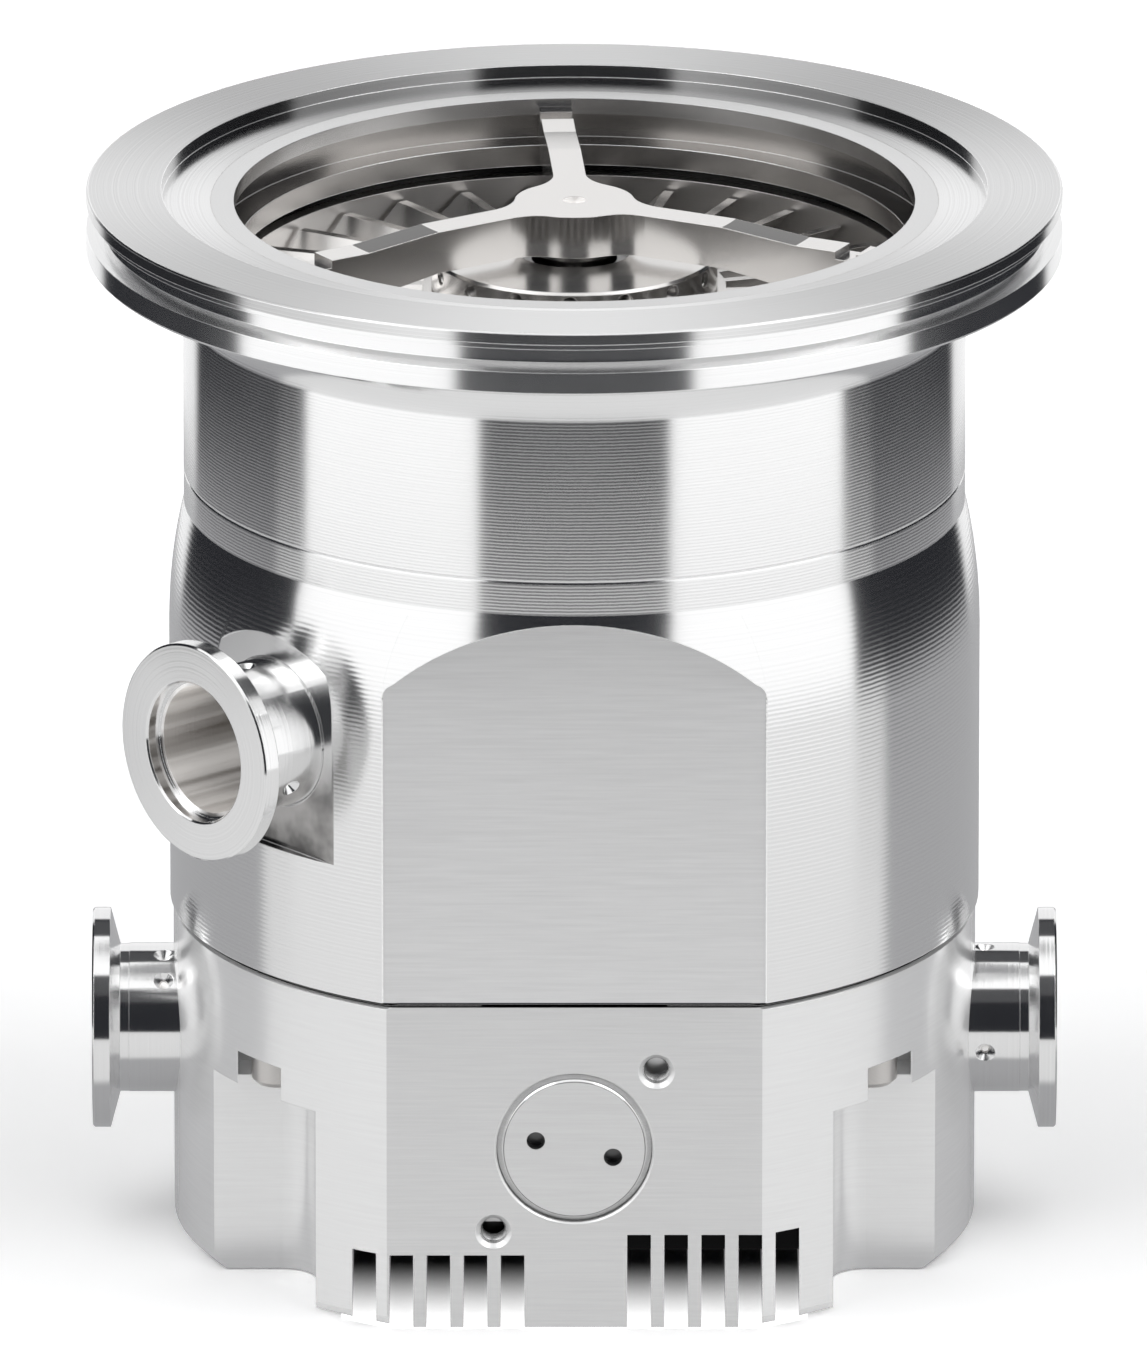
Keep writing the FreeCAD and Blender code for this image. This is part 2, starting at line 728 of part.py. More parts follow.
def cut_front_holes(body):
    """The plugged vent port and two tapped holes in the flat front."""
    vent = new_sketch(body, "XZ_Plane", "flat_distance - plug_length")
    draw_circle(vent, "0", "plug_height", "plug_radius + plug_gap")
    cut(body, vent, "plug_length + cut_over", outward=True)
    passage = new_sketch(body, "XZ_Plane", "plenum_outer - plenum_overlap")
    draw_circle(passage, "0", "vent_passage_height", "vent_passage_radius")
    cut(body, passage, "flat_distance - plenum_outer", outward=True)
    tapped = new_sketch(body, "XZ_Plane", "flat_distance - tapped_depth")
    draw_circle(tapped, "upper_tapped_x", "upper_tapped_height", "tapped_radius")
    draw_circle(tapped, "-lower_tapped_x", "lower_tapped_height", "tapped_radius")
    cut(body, tapped, "tapped_depth + cut_over", outward=True)
    bevel(body, circle_facing("plug_radius + plug_gap", "flat_distance"), "fine_break")
    bevel(body, circle_facing("tapped_radius", "flat_distance"), "tapped_sink")


def make_nozzle(label, reach, seat, hole_turns):
    """A flanged nozzle in its own frame, with its face at z = 0 and its neck along -Z."""
    end = f"-({reach} - {seat} - 2 * seal_radius)"
    body = new_body(label)
    sketch = new_sketch(body, "XZ_Plane")
    draw_outline(sketch, [
        ("nozzle_bore", end),
        ("nozzle_radius", end),
        ("nozzle_radius", f"-({NOZZLE_NECK} + nozzle_step_length)"),
        ("nozzle_radius - nozzle_step", f"-({NOZZLE_NECK} + nozzle_step_length)"),
        ("nozzle_radius - nozzle_step", f"-{NOZZLE_NECK}"),
        ("nozzle_rim_radius", "-nozzle_rim_width"),
        ("nozzle_rim_radius", "-fine_break"),
        ("nozzle_rim_radius - fine_break", "0"),
        ("nozzle_recess_radius + fine_break", "0"),
        ("nozzle_recess_radius", "-fine_break"),
        ("nozzle_recess_radius", "-nozzle_recess_depth"),
        ("nozzle_bore", "-nozzle_recess_depth"),
    ])
    revolve(body, sketch)
    for turn in hole_turns:
        grip = new_sketch(body, "XZ_Plane", "nozzle_radius", str(turn))
        draw_circle(grip, "0", "-grip_hole_setback", "grip_hole_radius")
        dimple = cut(body, grip, "grip_hole_depth")
        dimple.setExpression("TaperAngle", formula("-grip_hole_taper"))
    return body


def make_ports():
    """The nozzles on both sides and at the front left, each with the seal behind it."""
    for side, name in ((-1, "left"), (1, "right")):
        across = FreeCAD.Rotation(FreeCAD.Vector(0, 0, 1), FreeCAD.Vector(side, 0, 0))
        nozzle = make_nozzle(f"nozzle_{name}", "port_reach", "port_seat", GRIP_TURNS[name])
        place(nozzle, f"{side} * port_reach", "0", "port_height", across)
        seal = seal_ring(f"port_seal_{name}", "nozzle_radius - seal_radius", "0")
        place(seal, f"{side} * (port_seat + seal_radius)", "0", "port_height", across)
    turn = math.radians(value("interstage_turn"))
    outward = FreeCAD.Vector(-math.sin(turn), -math.cos(turn), 0)
    across = FreeCAD.Rotation(FreeCAD.Vector(0, 0, 1), outward)
    hole_turns = [value("180 + interstage_turn") + grip for grip in GRIP_TURNS["interstage"]]
    nozzle = make_nozzle("nozzle_interstage", "interstage_reach", "interstage_seat", hole_turns)
    seal = seal_ring("port_seal_interstage", "nozzle_radius - seal_radius", "0")
    for body, distance in ((nozzle, "interstage_reach"), (seal, "(interstage_seat + seal_radius)")):
        place(body, f"-{distance} * sin(interstage_turn)", f"-{distance} * cos(interstage_turn)",
              "interstage_height", across)


def make_plug():
    """The plug of the vent port, with two holes for a pin wrench, and its seal."""
    body = new_body("vent_plug")
    sketch = new_sketch(body, "XZ_Plane", "flat_distance - plug_length + 2 * seal_radius")
    draw_circle(sketch, "0", "0", "plug_radius")
    pad(body, sketch, "plug_length - 2 * seal_radius")
    holes = new_sketch(body, "XZ_Plane", "flat_distance")
    for side in (-1, 1):
        draw_circle(holes, f"{side} * pin_hole_x", f"{-side} * pin_hole_rise", "pin_hole_radius")
    cut(body, holes, "pin_hole_depth")
    bevel(body, circle_facing("plug_radius", "flat_distance"), "plug_bevel")
    place(body, "0", "0", "plug_height")
    facing_front = FreeCAD.Rotation(FreeCAD.Vector(1, 0, 0), 90)
    seal = seal_ring("vent_seal", "plug_radius - seal_radius - plug_gap", "0")
    place(seal, "0", "-(flat_distance - plug_length + seal_radius)", "plug_height", facing_front)


def make_envelope_screws():
    """Four socket screws that go up from the base's pockets into the envelope."""
    for number, (across, along) in enumerate(SCREW_SIDES, start=1):
        body = new_body(f"envelope_screw_{number}")
        sketch = new_sketch(body, "XZ_Plane")
        draw_outline(sketch, [
            ("0", "0"),
            ("head_radius - head_bevel", "0"),
            ("head_radius", "head_bevel"),
            ("head_radius", "head_height"),
            ("screw_radius - fit_gap", "head_height"),
            ("screw_radius - fit_gap", "head_height + seam_height - window_top + screw_grip"),
            ("0", "head_height + seam_height - window_top + screw_grip"),
        ])
        revolve(body, sketch)
        cut_hex_socket(body, "hex_radius", "hex_depth")
        place(body, f"{across} * screw_x", f"{along} * screw_y", "window_top - head_height")


def cut_hex_socket(body, radius, depth):
    """Sink a hexagonal socket in a screw whose head's face is at z = 0 and looks down."""
    socket = new_sketch(body, "XY_Plane")
    corners = [(f"{radius} * cos({60 * side})", f"{radius} * sin({60 * side})") for side in range(6)]
    draw_outline(socket, corners)
    cut(body, socket, depth, outward=True)


def make_spider():
    """The bearing holder: a hub on three arms whose feet stand on the envelope's ledge."""
    body = new_body("spider")
    tallest = f"{SPIDER_TOP} - {ARM_BOTTOM}"
    hub = new_sketch(body, "XY_Plane", ARM_BOTTOM)
    draw_circle(hub, "0", "0", "hub_radius")
    pad(body, hub, tallest)
    arm = new_sketch(body, "XY_Plane", ARM_BOTTOM)
    draw_outline(arm, box_corners("-arm_width / 2", "0", "arm_width / 2", "foot_reach"))
    arm_pad = pad(body, arm, tallest)
    DOC.recompute()
    pattern(body, [arm_pad], "3")
    DOC.recompute()
    fillet_arm_roots(body)

    above = new_sketch(body, "XZ_Plane")
    groove_end = "(arm_groove_start + arm_groove_width)"
    groove_floor = f"({ARM_TOP} - arm_groove_depth)"
    foot_top = f"({LIP_BOTTOM} - fit_gap)"
    draw_outline(above, [
        ("arm_ramp_start", SPIDER_TOP),
        ("arm_ramp_end", ARM_TOP),
        ("arm_groove_start", ARM_TOP),
        ("arm_groove_start", groove_floor),
        (groove_end, groove_floor),
        (groove_end, ARM_TOP),
        ("arm_reach", ARM_TOP),
        ("arm_reach", foot_top),
        ("seat_radius + cut_over", foot_top),
        ("seat_radius + cut_over", f"{SPIDER_TOP} + cut_over"),
        ("arm_ramp_start", f"{SPIDER_TOP} + cut_over"),
    ])
    revolve(body, above, cut=True)
    below = new_sketch(body, "XZ_Plane")
    draw_outline(below, [
        ("0", f"{ARM_BOTTOM} - cut_over"),
        ("seat_radius + cut_over", f"{ARM_BOTTOM} - cut_over"),
        ("seat_radius + cut_over", LEDGE_TOP),
        ("ledge_radius - running_gap", LEDGE_TOP),
        ("ledge_radius - running_gap", ARM_BOTTOM),
        ("arm_ramp_end", ARM_BOTTOM),
        ("arm_ramp_start", HUB_BOTTOM),
        ("0", HUB_BOTTOM),
    ])
    revolve(body, below, cut=True)
    dimple = new_sketch(body, "XZ_Plane")
    draw_outline(dimple, [
        ("0", f"{SPIDER_TOP} - dimple_depth"),
        ("dimple_radius", SPIDER_TOP),
        ("0", SPIDER_TOP),
    ])
    revolve(body, dimple, cut=True)
    boss = new_sketch(body, "XZ_Plane")
    boss_bottom = f"({HUB_BOTTOM} - boss_drop)"
    draw_outline(boss, [
        ("0", f"{HUB_BOTTOM} - spindle_length"),
        ("spindle_radius", f"{HUB_BOTTOM} - spindle_length"),
        ("spindle_radius", boss_bottom),
        ("fixed_magnet_radius + running_gap", boss_bottom),
        ("boss_radius", HUB_BOTTOM),
        ("boss_radius", f"{HUB_BOTTOM} + cut_over"),
        ("0", f"{HUB_BOTTOM} + cut_over"),
    ])
    revolve(body, boss)
    turned = FreeCAD.Rotation(FreeCAD.Vector(0, 0, 1), value("spider_turn"))
    body.Placement = FreeCAD.Placement(FreeCAD.Vector(), turned)
    return body


def fillet_arm_roots(body):
    """Round the upright corners where the arms leave the hub."""
    names = []
    for number, edge in enumerate(body.Shape.Edges, start=1):
        points = [vertex.Point for vertex in edge.Vertexes]
        upright = all(abs(point.x - points[0].x) < NEAR for point in points)
        at_hub = all(abs(math.hypot(point.x, point.y) - value("hub_radius")) < NEAR for point in points)
        if upright and at_hub and isinstance(edge.Curve, Part.Line):
            names.append(f"Edge{number}")
    solid = body.Tip
    feature = body.newObject("PartDesign::Fillet", "spider_roots")
    feature.Base = (solid, names)
    feature.setExpression("Radius", formula("hub_fillet"))


def make_upper_bearing():
    """The passive magnet bearing at the inlet end, and the ring that backs it up."""
    ring("fixed_magnet_stack", "spindle_radius", "fixed_magnet_radius", MAGNET_BOTTOM,
         f"{HUB_BOTTOM} - boss_drop")
    ring("touchdown_bearing", "spindle_radius", "touch_radius", f"{MAGNET_BOTTOM} - touch_height",
         MAGNET_BOTTOM)
    ring("rotor_magnet_ring", "rotor_bore - rotor_magnet_wall", "rotor_bore", ROTOR_STEP,
         f"{ROTOR_STEP} + rotor_magnet_length")
    ring("spider_retainer", "throat_radius", "seat_radius", LIP_BOTTOM, RECESS_FLOOR)


def make_rotor_hub():
    """The rotor's core with the balancing collar on top and its ring of tapped holes."""
    body = new_body("rotor_hub")
    sketch = new_sketch(body, "XZ_Plane")
    draw_outline(sketch, [
        ("shaft_radius", BELL_TOP),
        ("rotor_core_radius", BELL_TOP),
        ("rotor_core_radius", BALANCE_BOTTOM),
        ("balance_radius", BALANCE_BOTTOM),
        ("balance_radius", f"{ROTOR_TOP} - edge_break"),
        ("balance_radius - edge_break", ROTOR_TOP),
        ("rotor_bore", ROTOR_TOP),
        ("rotor_bore", ROTOR_STEP),
        ("touch_radius + running_gap", ROTOR_STEP),
        ("touch_radius + running_gap", ROTOR_BORE_FLOOR),
        ("0", ROTOR_BORE_FLOOR),
        ("0", SHAFT_TOP),
        ("shaft_radius", SHAFT_TOP),
    ])
    revolve(body, sketch)
    hole = new_sketch(body, "XZ_Plane", "balance_radius - balance_hole_depth", "balance_hole_turn")
    draw_circle(hole, "0", f"{ROTOR_TOP} - balance_hole_drop", "balance_hole_radius")
    first = cut(body, hole, "balance_hole_depth + cut_over", outward=True)
    pattern(body, [first], "balance_hole_count")
    return body


def row_levels(kind, number):
    """The bottom and top of one row of blades, counted from the inlet."""
    top = f"({LEDGE_BOTTOM} - tip_space)"
    for index in range(number):
        top = f"({top} - {ROTOR_ROWS[index]} - {STATOR_ROWS[index]} - 2 * row_gap)"
    if kind == "stator":
        top = f"({top} - {ROTOR_ROWS[number]} - row_gap)"
        return f"({top} - {STATOR_ROWS[number]})", top
    return f"({top} - {ROTOR_ROWS[number]})", top


def add_blades(body, bottom, top, inner, outer, lean, count="blade_count", first_turn="0"):
    """Flat slanted blades between two radii, which rise clockwise where lean is 1."""
    height = f"({top} - {bottom})"
    run = f"({height} / tan(blade_angle) / 2)"
    half = "(blade_thickness / sin(blade_angle) / 2)"
    sketch = new_sketch(body, "XZ_Plane", inner, first_turn)
    draw_outline(sketch, [
        (f"{lean} * {run} - {half}", bottom),
        (f"{lean} * {run} + {half}", bottom),
        (f"-{lean} * {run} + {half}", top),
        (f"-{lean} * {run} - {half}", top),
    ])
    blade = pad(body, sketch, f"sqrt(({outer}) ^ 2 - ({run} + {half}) ^ 2) - ({inner})")
    DOC.recompute()
    whole = value(count) == value("blade_count")
    pattern(body, [blade], count, 360 if whole else 2 * value(first_turn))


def make_rotor_stage(number):
    """A bladed disc on the rotor's core."""
    bottom, top = row_levels("rotor", number)
    body = ring(f"rotor_stage_{number + 1}", "rotor_core_radius", "root_radius", bottom, top)
    add_blades(body, bottom, top, "root_radius - blade_root", "tip_radius", 1)
    return body


def make_stator_half(number, half):
    """The front or back half of a fixed bladed ring, which two spacers clamp by its thin rim."""
    bottom, top = row_levels("stator", number)
    rim_bottom, rim_top = rim_levels(number)
    body = new_body(f"stator_{number + 1}_{half}")
    root = new_sketch(body, "XZ_Plane")
    draw_outline(root, box_corners(ROOT_BORE, bottom, f"{ROOT_BORE} + stator_root_wall", top))
    revolve(body, root, half=True)
    add_blades(body, bottom, top, f"({ROOT_BORE} + stator_root_wall / 2)", "stator_rim_radius + cut_over",
               -1, "(blade_count / 2)", "(90 - 180 / blade_count)")
    rim = new_sketch(body, "XZ_Plane")
    draw_outline(rim, box_corners("stator_rim_radius", rim_bottom, "stack_radius - fit_gap", rim_top))
    revolve(body, rim, half=True)
    other_half = new_sketch(body, "XY_Plane", f"{top} + cut_over")
    draw_outline(other_half, box_corners("-body_radius", "-fit_gap", "body_radius", "body_radius"))
    cut(body, other_half, f"{top} - {bottom} + 2 * cut_over")
    turn = 0 if half == "front" else 180
    body.Placement = FreeCAD.Placement(FreeCAD.Vector(), FreeCAD.Rotation(FreeCAD.Vector(0, 0, 1), turn))
    return body


def rim_levels(number):
    """The bottom and top of the thin rim of one stator."""
    bottom, top = row_levels("stator", number)
    return f"(({bottom} + {top} - rim_plate) / 2)", f"(({bottom} + {top} + rim_plate) / 2)"


def make_spacers():
    """The rings that hold the stators apart, from the inlet's ledge down to the drag stage."""
    inner = "stack_radius - spacer_wall"
    outer = "stack_radius - fit_gap"
    top = f"({LEDGE_BOTTOM} - tip_space / 2)"
    for number in range(len(STATOR_ROWS)):
        rim_bottom, rim_top = rim_levels(number)
        ring(f"spacer_{number + 1}", inner, outer, rim_top, top)
        top = rim_bottom
    body = ring("interstage_spacer", inner, outer, BELL_TOP, top)
    opening = new_sketch(body, "XZ_Plane", "0", "interstage_turn")
    draw_circle(opening, "0", "interstage_height", "nozzle_bore")
    cut(body, opening, "body_radius", outward=True)


def make_drag_stage():
    """The smooth bell below the blades and the two channelled cylinders that it runs between."""
    bell = new_body("rotor_drag_bell")
    sketch = new_sketch(bell, "XZ_Plane")
    bell_bottom = "(seam_height + bell_bottom_rise)"
    draw_outline(sketch, [
        ("shaft_radius", f"{BELL_TOP} - bell_disc"),
        ("bell_radius - bell_wall", f"{BELL_TOP} - bell_disc"),
        ("bell_radius - bell_wall", bell_bottom),
        ("bell_radius", bell_bottom),
        ("bell_radius", BELL_TOP),
        ("shaft_radius", BELL_TOP),
    ])
    revolve(bell, sketch)

    outer = ring("drag_stator_outer", "bell_radius + drag_gap", "stack_radius - fit_gap",
                 STACK_BOTTOM, BELL_TOP)
    channel = new_sketch(outer, "XZ_Plane", "bell_radius - bell_wall")
    draw_outline(channel, box_corners("-drag_channel_width / 2", f"{STACK_BOTTOM} - cut_over",
                                      "drag_channel_width / 2", f"{BELL_TOP} + cut_over"))
    first = cut(outer, channel, "drag_gap + drag_channel_depth + bell_wall", outward=True)
    pattern(outer, [first], "drag_channel_count")

    inner = new_body("drag_stator_inner")
    sketch = new_sketch(inner, "XZ_Plane")
    outside = "(bell_radius - bell_wall - drag_gap)"
    inside = f"({outside} - inner_stator_wall)"
    top = f"({BELL_TOP} - bell_disc - 2 * drag_gap)"
    foot_top = f"({WELL_FLOOR} + inner_foot_height)"
    draw_outline(sketch, [
        ("plenum_inner - inner_foot_width", WELL_FLOOR),
        ("plenum_inner", WELL_FLOOR),
        ("plenum_inner", foot_top),
        (outside, f"{foot_top} + inner_foot_slope"),
        (outside, top),
        (inside, top),
        (inside, f"{foot_top} + inner_foot_slope"),
        ("plenum_inner - inner_foot_width", foot_top),
    ])
    revolve(inner, sketch)


def make_shaft():
    """The shaft, with its seats for the motor's magnet sleeve and the lower bearing."""
    body = new_body("shaft")
    sketch = new_sketch(body, "XZ_Plane")
    draw_outline(sketch, [
        ("0", "shaft_bottom"),
        ("bearing_seat_radius - edge_break", "shaft_bottom"),
        ("bearing_seat_radius", "shaft_bottom + edge_break"),
        ("bearing_seat_radius", "bearing_bottom + bearing_height"),
        ("motor_seat_radius", "bearing_bottom + bearing_height"),
        ("motor_seat_radius", SLEEVE_TOP),
        ("shaft_radius", SLEEVE_TOP),
        ("shaft_radius", SHAFT_TOP),
        ("0", SHAFT_TOP),
    ])
    revolve(body, sketch)
    ring("motor_sleeve", "motor_seat_radius", "sleeve_radius", CORE_BOTTOM, SLEEVE_TOP)


def make_motor():
    """The motor's fixed core and its windings, in the bore of the base."""
    ring("motor_core", "motor_bore - core_wall", "motor_bore - fit_gap", CORE_BOTTOM,
         f"{CORE_BOTTOM} + core_height")
    inner = "(motor_bore - core_wall + winding_clearance)"
    outer = f"({inner} + winding_wall)"
    ring("motor_winding_lower", inner, outer, f"{CORE_BOTTOM} - winding_height", CORE_BOTTOM)
    ring("motor_winding_upper", inner, outer, f"{CORE_BOTTOM} + core_height",
         f"{CORE_BOTTOM} + core_height + winding_height")


def make_lower_bearing():
    """The oiled ball bearing: two races, cage, balls and the rubber rings that damp it."""
    low, high = "bearing_bottom", "(bearing_bottom + bearing_height)"
    races = (("bearing_inner_race", "bearing_seat_radius", "bearing_seat_radius + race_wall"),
             ("bearing_outer_race", "bearing_radius - race_wall", "bearing_radius"))
    for name, inner, outer in races:
        race = ring(name, inner, outer, low, high)
        track = new_sketch(race, "XZ_Plane")
        draw_circle(track, BALL_CIRCLE, BEARING_MIDDLE, "ball_radius + ball_gap")
        revolve(race, track, cut=True)
    cage = ring("bearing_cage", f"{BALL_CIRCLE} - cage_wall / 2", f"{BALL_CIRCLE} + cage_wall / 2",
                f"{BEARING_MIDDLE} - cage_height / 2", f"{BEARING_MIDDLE} + cage_height / 2")
    window = new_sketch(cage, "XZ_Plane")
    draw_circle(window, "0", BEARING_MIDDLE, "ball_radius + fit_gap")
    first = cut(cage, window, "bearing_radius", outward=True)
    pattern(cage, [first], "ball_count")
    balls = []
    for number in range(int(value("ball_count"))):
        turn = 2 * math.pi * number / value("ball_count")
        centre = FreeCAD.Vector(math.sin(turn), -math.cos(turn), 0) * value(BALL_CIRCLE)
        balls.append(Part.makeSphere(value("ball_radius"), centre))
    feature = DOC.addObject("Part::Feature", "bearing_balls")
    feature.Shape = Part.Compound(balls)
    place(feature, "0", "0", BEARING_MIDDLE)
    inset = "(damper_radius + damper_inset)"
    for name, level in (("lower", f"{low} + {inset}"), ("upper", f"{high} - {inset}")):
        seal_ring(f"damper_ring_{name}", "bearing_radius + damper_radius", level, "damper_radius")


def make_oil_cartridge():
    """The felt that feeds oil to the bearing, the tapered nut that lifts it, and the cover."""
    cover_top = "(cover_recess + cover_thickness)"
    ring("oil_felt", "bearing_seat_radius + felt_gap", "felt_radius", cover_top,
         "cartridge_top - felt_clearance")
    nut = new_body("oil_nut")
    sketch = new_sketch(nut, "XZ_Plane")
    nut_bottom = "(bearing_bottom - nut_length)"
    draw_outline(sketch, [
        ("bearing_seat_radius", nut_bottom),
        ("bearing_seat_radius + nut_wall", nut_bottom),
        ("bearing_seat_radius + race_wall", "bearing_bottom"),
        ("bearing_seat_radius", "bearing_bottom"),
    ])
    revolve(nut, sketch)
    cover = new_body("cartridge_cover")
    sketch = new_sketch(cover, "XZ_Plane")
    outer = "(cartridge_radius - fit_gap)"
    groove = "(cartridge_radius - 2 * seal_radius)"
    seal_level = "(cover_recess + cover_thickness / 2)"
    draw_outline(sketch, [
        ("0", "cover_recess"),
        (outer, "cover_recess"),
        (outer, f"{seal_level} - seal_radius"),
        (groove, f"{seal_level} - seal_radius"),
        (groove, f"{seal_level} + seal_radius"),
        (outer, f"{seal_level} + seal_radius"),
        (outer, cover_top),
        ("0", cover_top),
    ])
    revolve(cover, sketch)
    slot = new_sketch(cover, "XY_Plane", "cover_recess")
    draw_outline(slot, box_corners("-cartridge_radius / 2", "-cover_slot / 2", "cartridge_radius / 2",
                                   "cover_slot / 2"))
    cut(cover, slot, "cover_thickness / 2", outward=True)
    seal_ring("cover_seal", "cartridge_radius - seal_radius", seal_level)
    seal_ring("base_seal", "stack_radius - seal_radius", "seam_height + spigot_height / 2")


def make_drive_socket():
    """The connector for the drive electronics on the back of the base."""
    middle_width, middle_height = "socket_width / 2", "socket_height / 2"
    body = new_body("drive_socket")
    plate = new_sketch(body, "XZ_Plane", "-back_distance - socket_plate")
    draw_outline(plate, box_corners(f"-{middle_width}", f"-{middle_height}", middle_width, middle_height))
    pad(body, plate, "socket_plate")
    shell = new_sketch(body, "XZ_Plane", "-back_distance - socket_plate - shell_length")
    draw_outline(shell, box_corners("-shell_width / 2", "-shell_height / 2",
                                    "shell_width / 2", "shell_height / 2"))
    pad(body, shell, "shell_length")
    inside = new_sketch(body, "XZ_Plane", "-back_distance - socket_plate")
    draw_outline(inside, box_corners("-shell_width / 2 + shell_wall", "-shell_height / 2 + shell_wall",
                                     "shell_width / 2 - shell_wall", "shell_height / 2 - shell_wall"))
    cut(body, inside, "shell_length + cut_over")
    holes = new_sketch(body, "XZ_Plane", "-back_distance + cut_over")
    for side in (-1, 1):
        draw_circle(holes, f"{side} * small_screw_x", "0", "small_screw_radius + fit_gap")
    cut(body, holes, "socket_plate + 2 * cut_over")
    place(body, "0", "0", "socket_level")

    contacts = new_body("drive_contacts")
    block = new_sketch(contacts, "XZ_Plane", "-back_distance - socket_plate - shell_length / 2")
    draw_outline(block, box_corners("-shell_width / 2 + shell_wall", "-shell_height / 2 + shell_wall",
                                    "shell_width / 2 - shell_wall", "shell_height / 2 - shell_wall"))
    pad(contacts, block, "shell_length / 2")
    pins = new_sketch(contacts, "XZ_Plane", "-back_distance - socket_plate - shell_length + contact_inset")
    for number in range(int(value("contact_count"))):
        column = f"({number // 2} - (contact_count / 2 - 1) / 2)"
        level = "contact_pitch / 2" if number % 2 else "-contact_pitch / 2"
        draw_circle(pins, f"{column} * contact_pitch", level, "contact_radius")
    pad(contacts, pins, "shell_length / 2")
    place(contacts, "0", "0", "socket_level")

    facing_back = FreeCAD.Rotation(FreeCAD.Vector(1, 0, 0), -90)
    for side, name in ((-1, "left"), (1, "right")):
        screw = new_body(f"drive_socket_screw_{name}")
        sketch = new_sketch(screw, "XZ_Plane")
        draw_outline(sketch, [
            ("0", "-socket_plate - small_screw_grip"),
            ("small_screw_radius", "-socket_plate - small_screw_grip"),
            ("small_screw_radius", "0"),
            ("small_head_radius", "0"),
            ("small_head_radius", "small_head_height"),
            ("0", "small_head_height"),
        ])
        revolve(screw, sketch)
        place(screw, f"{side} * small_screw_x", "back_distance + socket_plate", "socket_level", facing_back)


def check_model():
    """Stop where an object has failed or a piece has no valid shape."""
    for item in DOC.Objects:
        if "Invalid" in item.State or "Error" in item.State:
            raise RuntimeError(f"{item.Name} failed: {item.State}")
    for piece in pieces():
        if piece.Shape.isNull() or not piece.Shape.isValid():
            raise RuntimeError(f"{piece.Label} has no valid shape")


def pieces():
    """Every separate piece of the pump."""
    return [item for item in DOC.Objects if item.TypeId in ("PartDesign::Body", "Part::Feature")]


def main():
    make_envelope()
    make_base()
    make_ports()
    make_plug()
    make_envelope_screws()
    make_spider()
    make_upper_bearing()
    make_rotor_hub()
    for number in range(len(ROTOR_ROWS)):
        make_rotor_stage(number)
        for half in ("front", "back"):
            make_stator_half(number, half)
    make_spacers()
    make_drag_stage()
    make_shaft()
    make_motor()
    make_lower_bearing()
    make_oil_cartridge()
    make_drive_socket()
    DOC.recompute()
    check_model()
    os.makedirs("parts", exist_ok=True)
    for piece in pieces():
        piece.Shape.exportStep(f"parts/{piece.Label}.step")


main()
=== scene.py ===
# %% [markdown]
# # A turbomolecular pump, dressed in Blender
#
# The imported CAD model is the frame: it holds every solid of the pump in metres, with +Z up along the
# rotor's axis and the flat front towards -Y. The solids have the right shapes already, so this lesson
# is mostly about metal. Bare aluminium has no colour of its own worth speaking of. What the eye reads
# is what it mirrors, and how each cut of the lathe or mill smears that mirror image. So the studio
# round the pump matters as much as its materials.

# %% Load the frame
import json
import math

import bmesh
import bpy
from mathutils import Matrix, Vector


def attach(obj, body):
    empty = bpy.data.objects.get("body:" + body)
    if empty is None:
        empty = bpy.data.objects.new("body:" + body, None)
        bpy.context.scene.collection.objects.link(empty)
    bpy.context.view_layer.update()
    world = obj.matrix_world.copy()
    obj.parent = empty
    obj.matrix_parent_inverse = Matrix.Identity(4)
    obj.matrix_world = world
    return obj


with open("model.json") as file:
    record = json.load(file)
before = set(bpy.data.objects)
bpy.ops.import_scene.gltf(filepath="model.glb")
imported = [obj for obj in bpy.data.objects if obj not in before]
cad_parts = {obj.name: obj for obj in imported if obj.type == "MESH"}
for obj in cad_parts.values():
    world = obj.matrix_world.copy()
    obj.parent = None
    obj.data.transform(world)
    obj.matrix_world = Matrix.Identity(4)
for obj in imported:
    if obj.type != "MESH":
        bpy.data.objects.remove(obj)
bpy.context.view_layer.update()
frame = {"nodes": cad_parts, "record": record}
NODES = frame["nodes"]
SLOT_OF = {part["node"]: part["material_slot"] for part in frame["record"]["subparts"]}
MM = 0.001

# %% [markdown]
# ## The camera
#
# The ellipses of the flange and of the ports say how far down the camera looks: 18.2 degrees. Their
# sizes hardly shrink with distance, so it stood far away with a long lens. A camera could be aimed by
# eye, but then each comparison would be off by a few pixels. Here it comes from a fit to measured
# edges: 6 m away, with 32400 pixels of focal length on an image 1371 pixels high.

# %% Place the camera
PITCH = math.radians(18.19)
DISTANCE = 6.0
FOCAL_PIXELS = 32400
IMAGE_HEIGHT = 1371
AIM = Vector((-0.17, 0, 102.8)) * MM

camera_data = bpy.data.cameras.new("camera")
camera_data.lens = FOCAL_PIXELS / IMAGE_HEIGHT * camera_data.sensor_width
camera_data.clip_end = 100
camera = bpy.data.objects.new("camera", camera_data)
bpy.context.scene.collection.objects.link(camera)
away = Vector((0, -math.cos(PITCH), math.sin(PITCH)))
camera.location = AIM + DISTANCE * away
camera.rotation_euler = away.to_track_quat("Z", "Y").to_euler()
bpy.context.scene.camera = camera
bpy.context.scene.view_settings.view_transform = "Standard"
print("camera at", [round(c, 3) for c in camera.location], "lens", round(camera_data.lens, 1), "mm")

# %% [markdown]
# ## A short way to write shader nodes
#
# Shader graphs are built from a tree of nodes and links. Written out in full, each node takes five
# lines. The class below wraps one node tree: each method adds a node, feeds its inputs with numbers or
# with other nodes' outputs, and hands back its output, so that a graph reads like arithmetic.

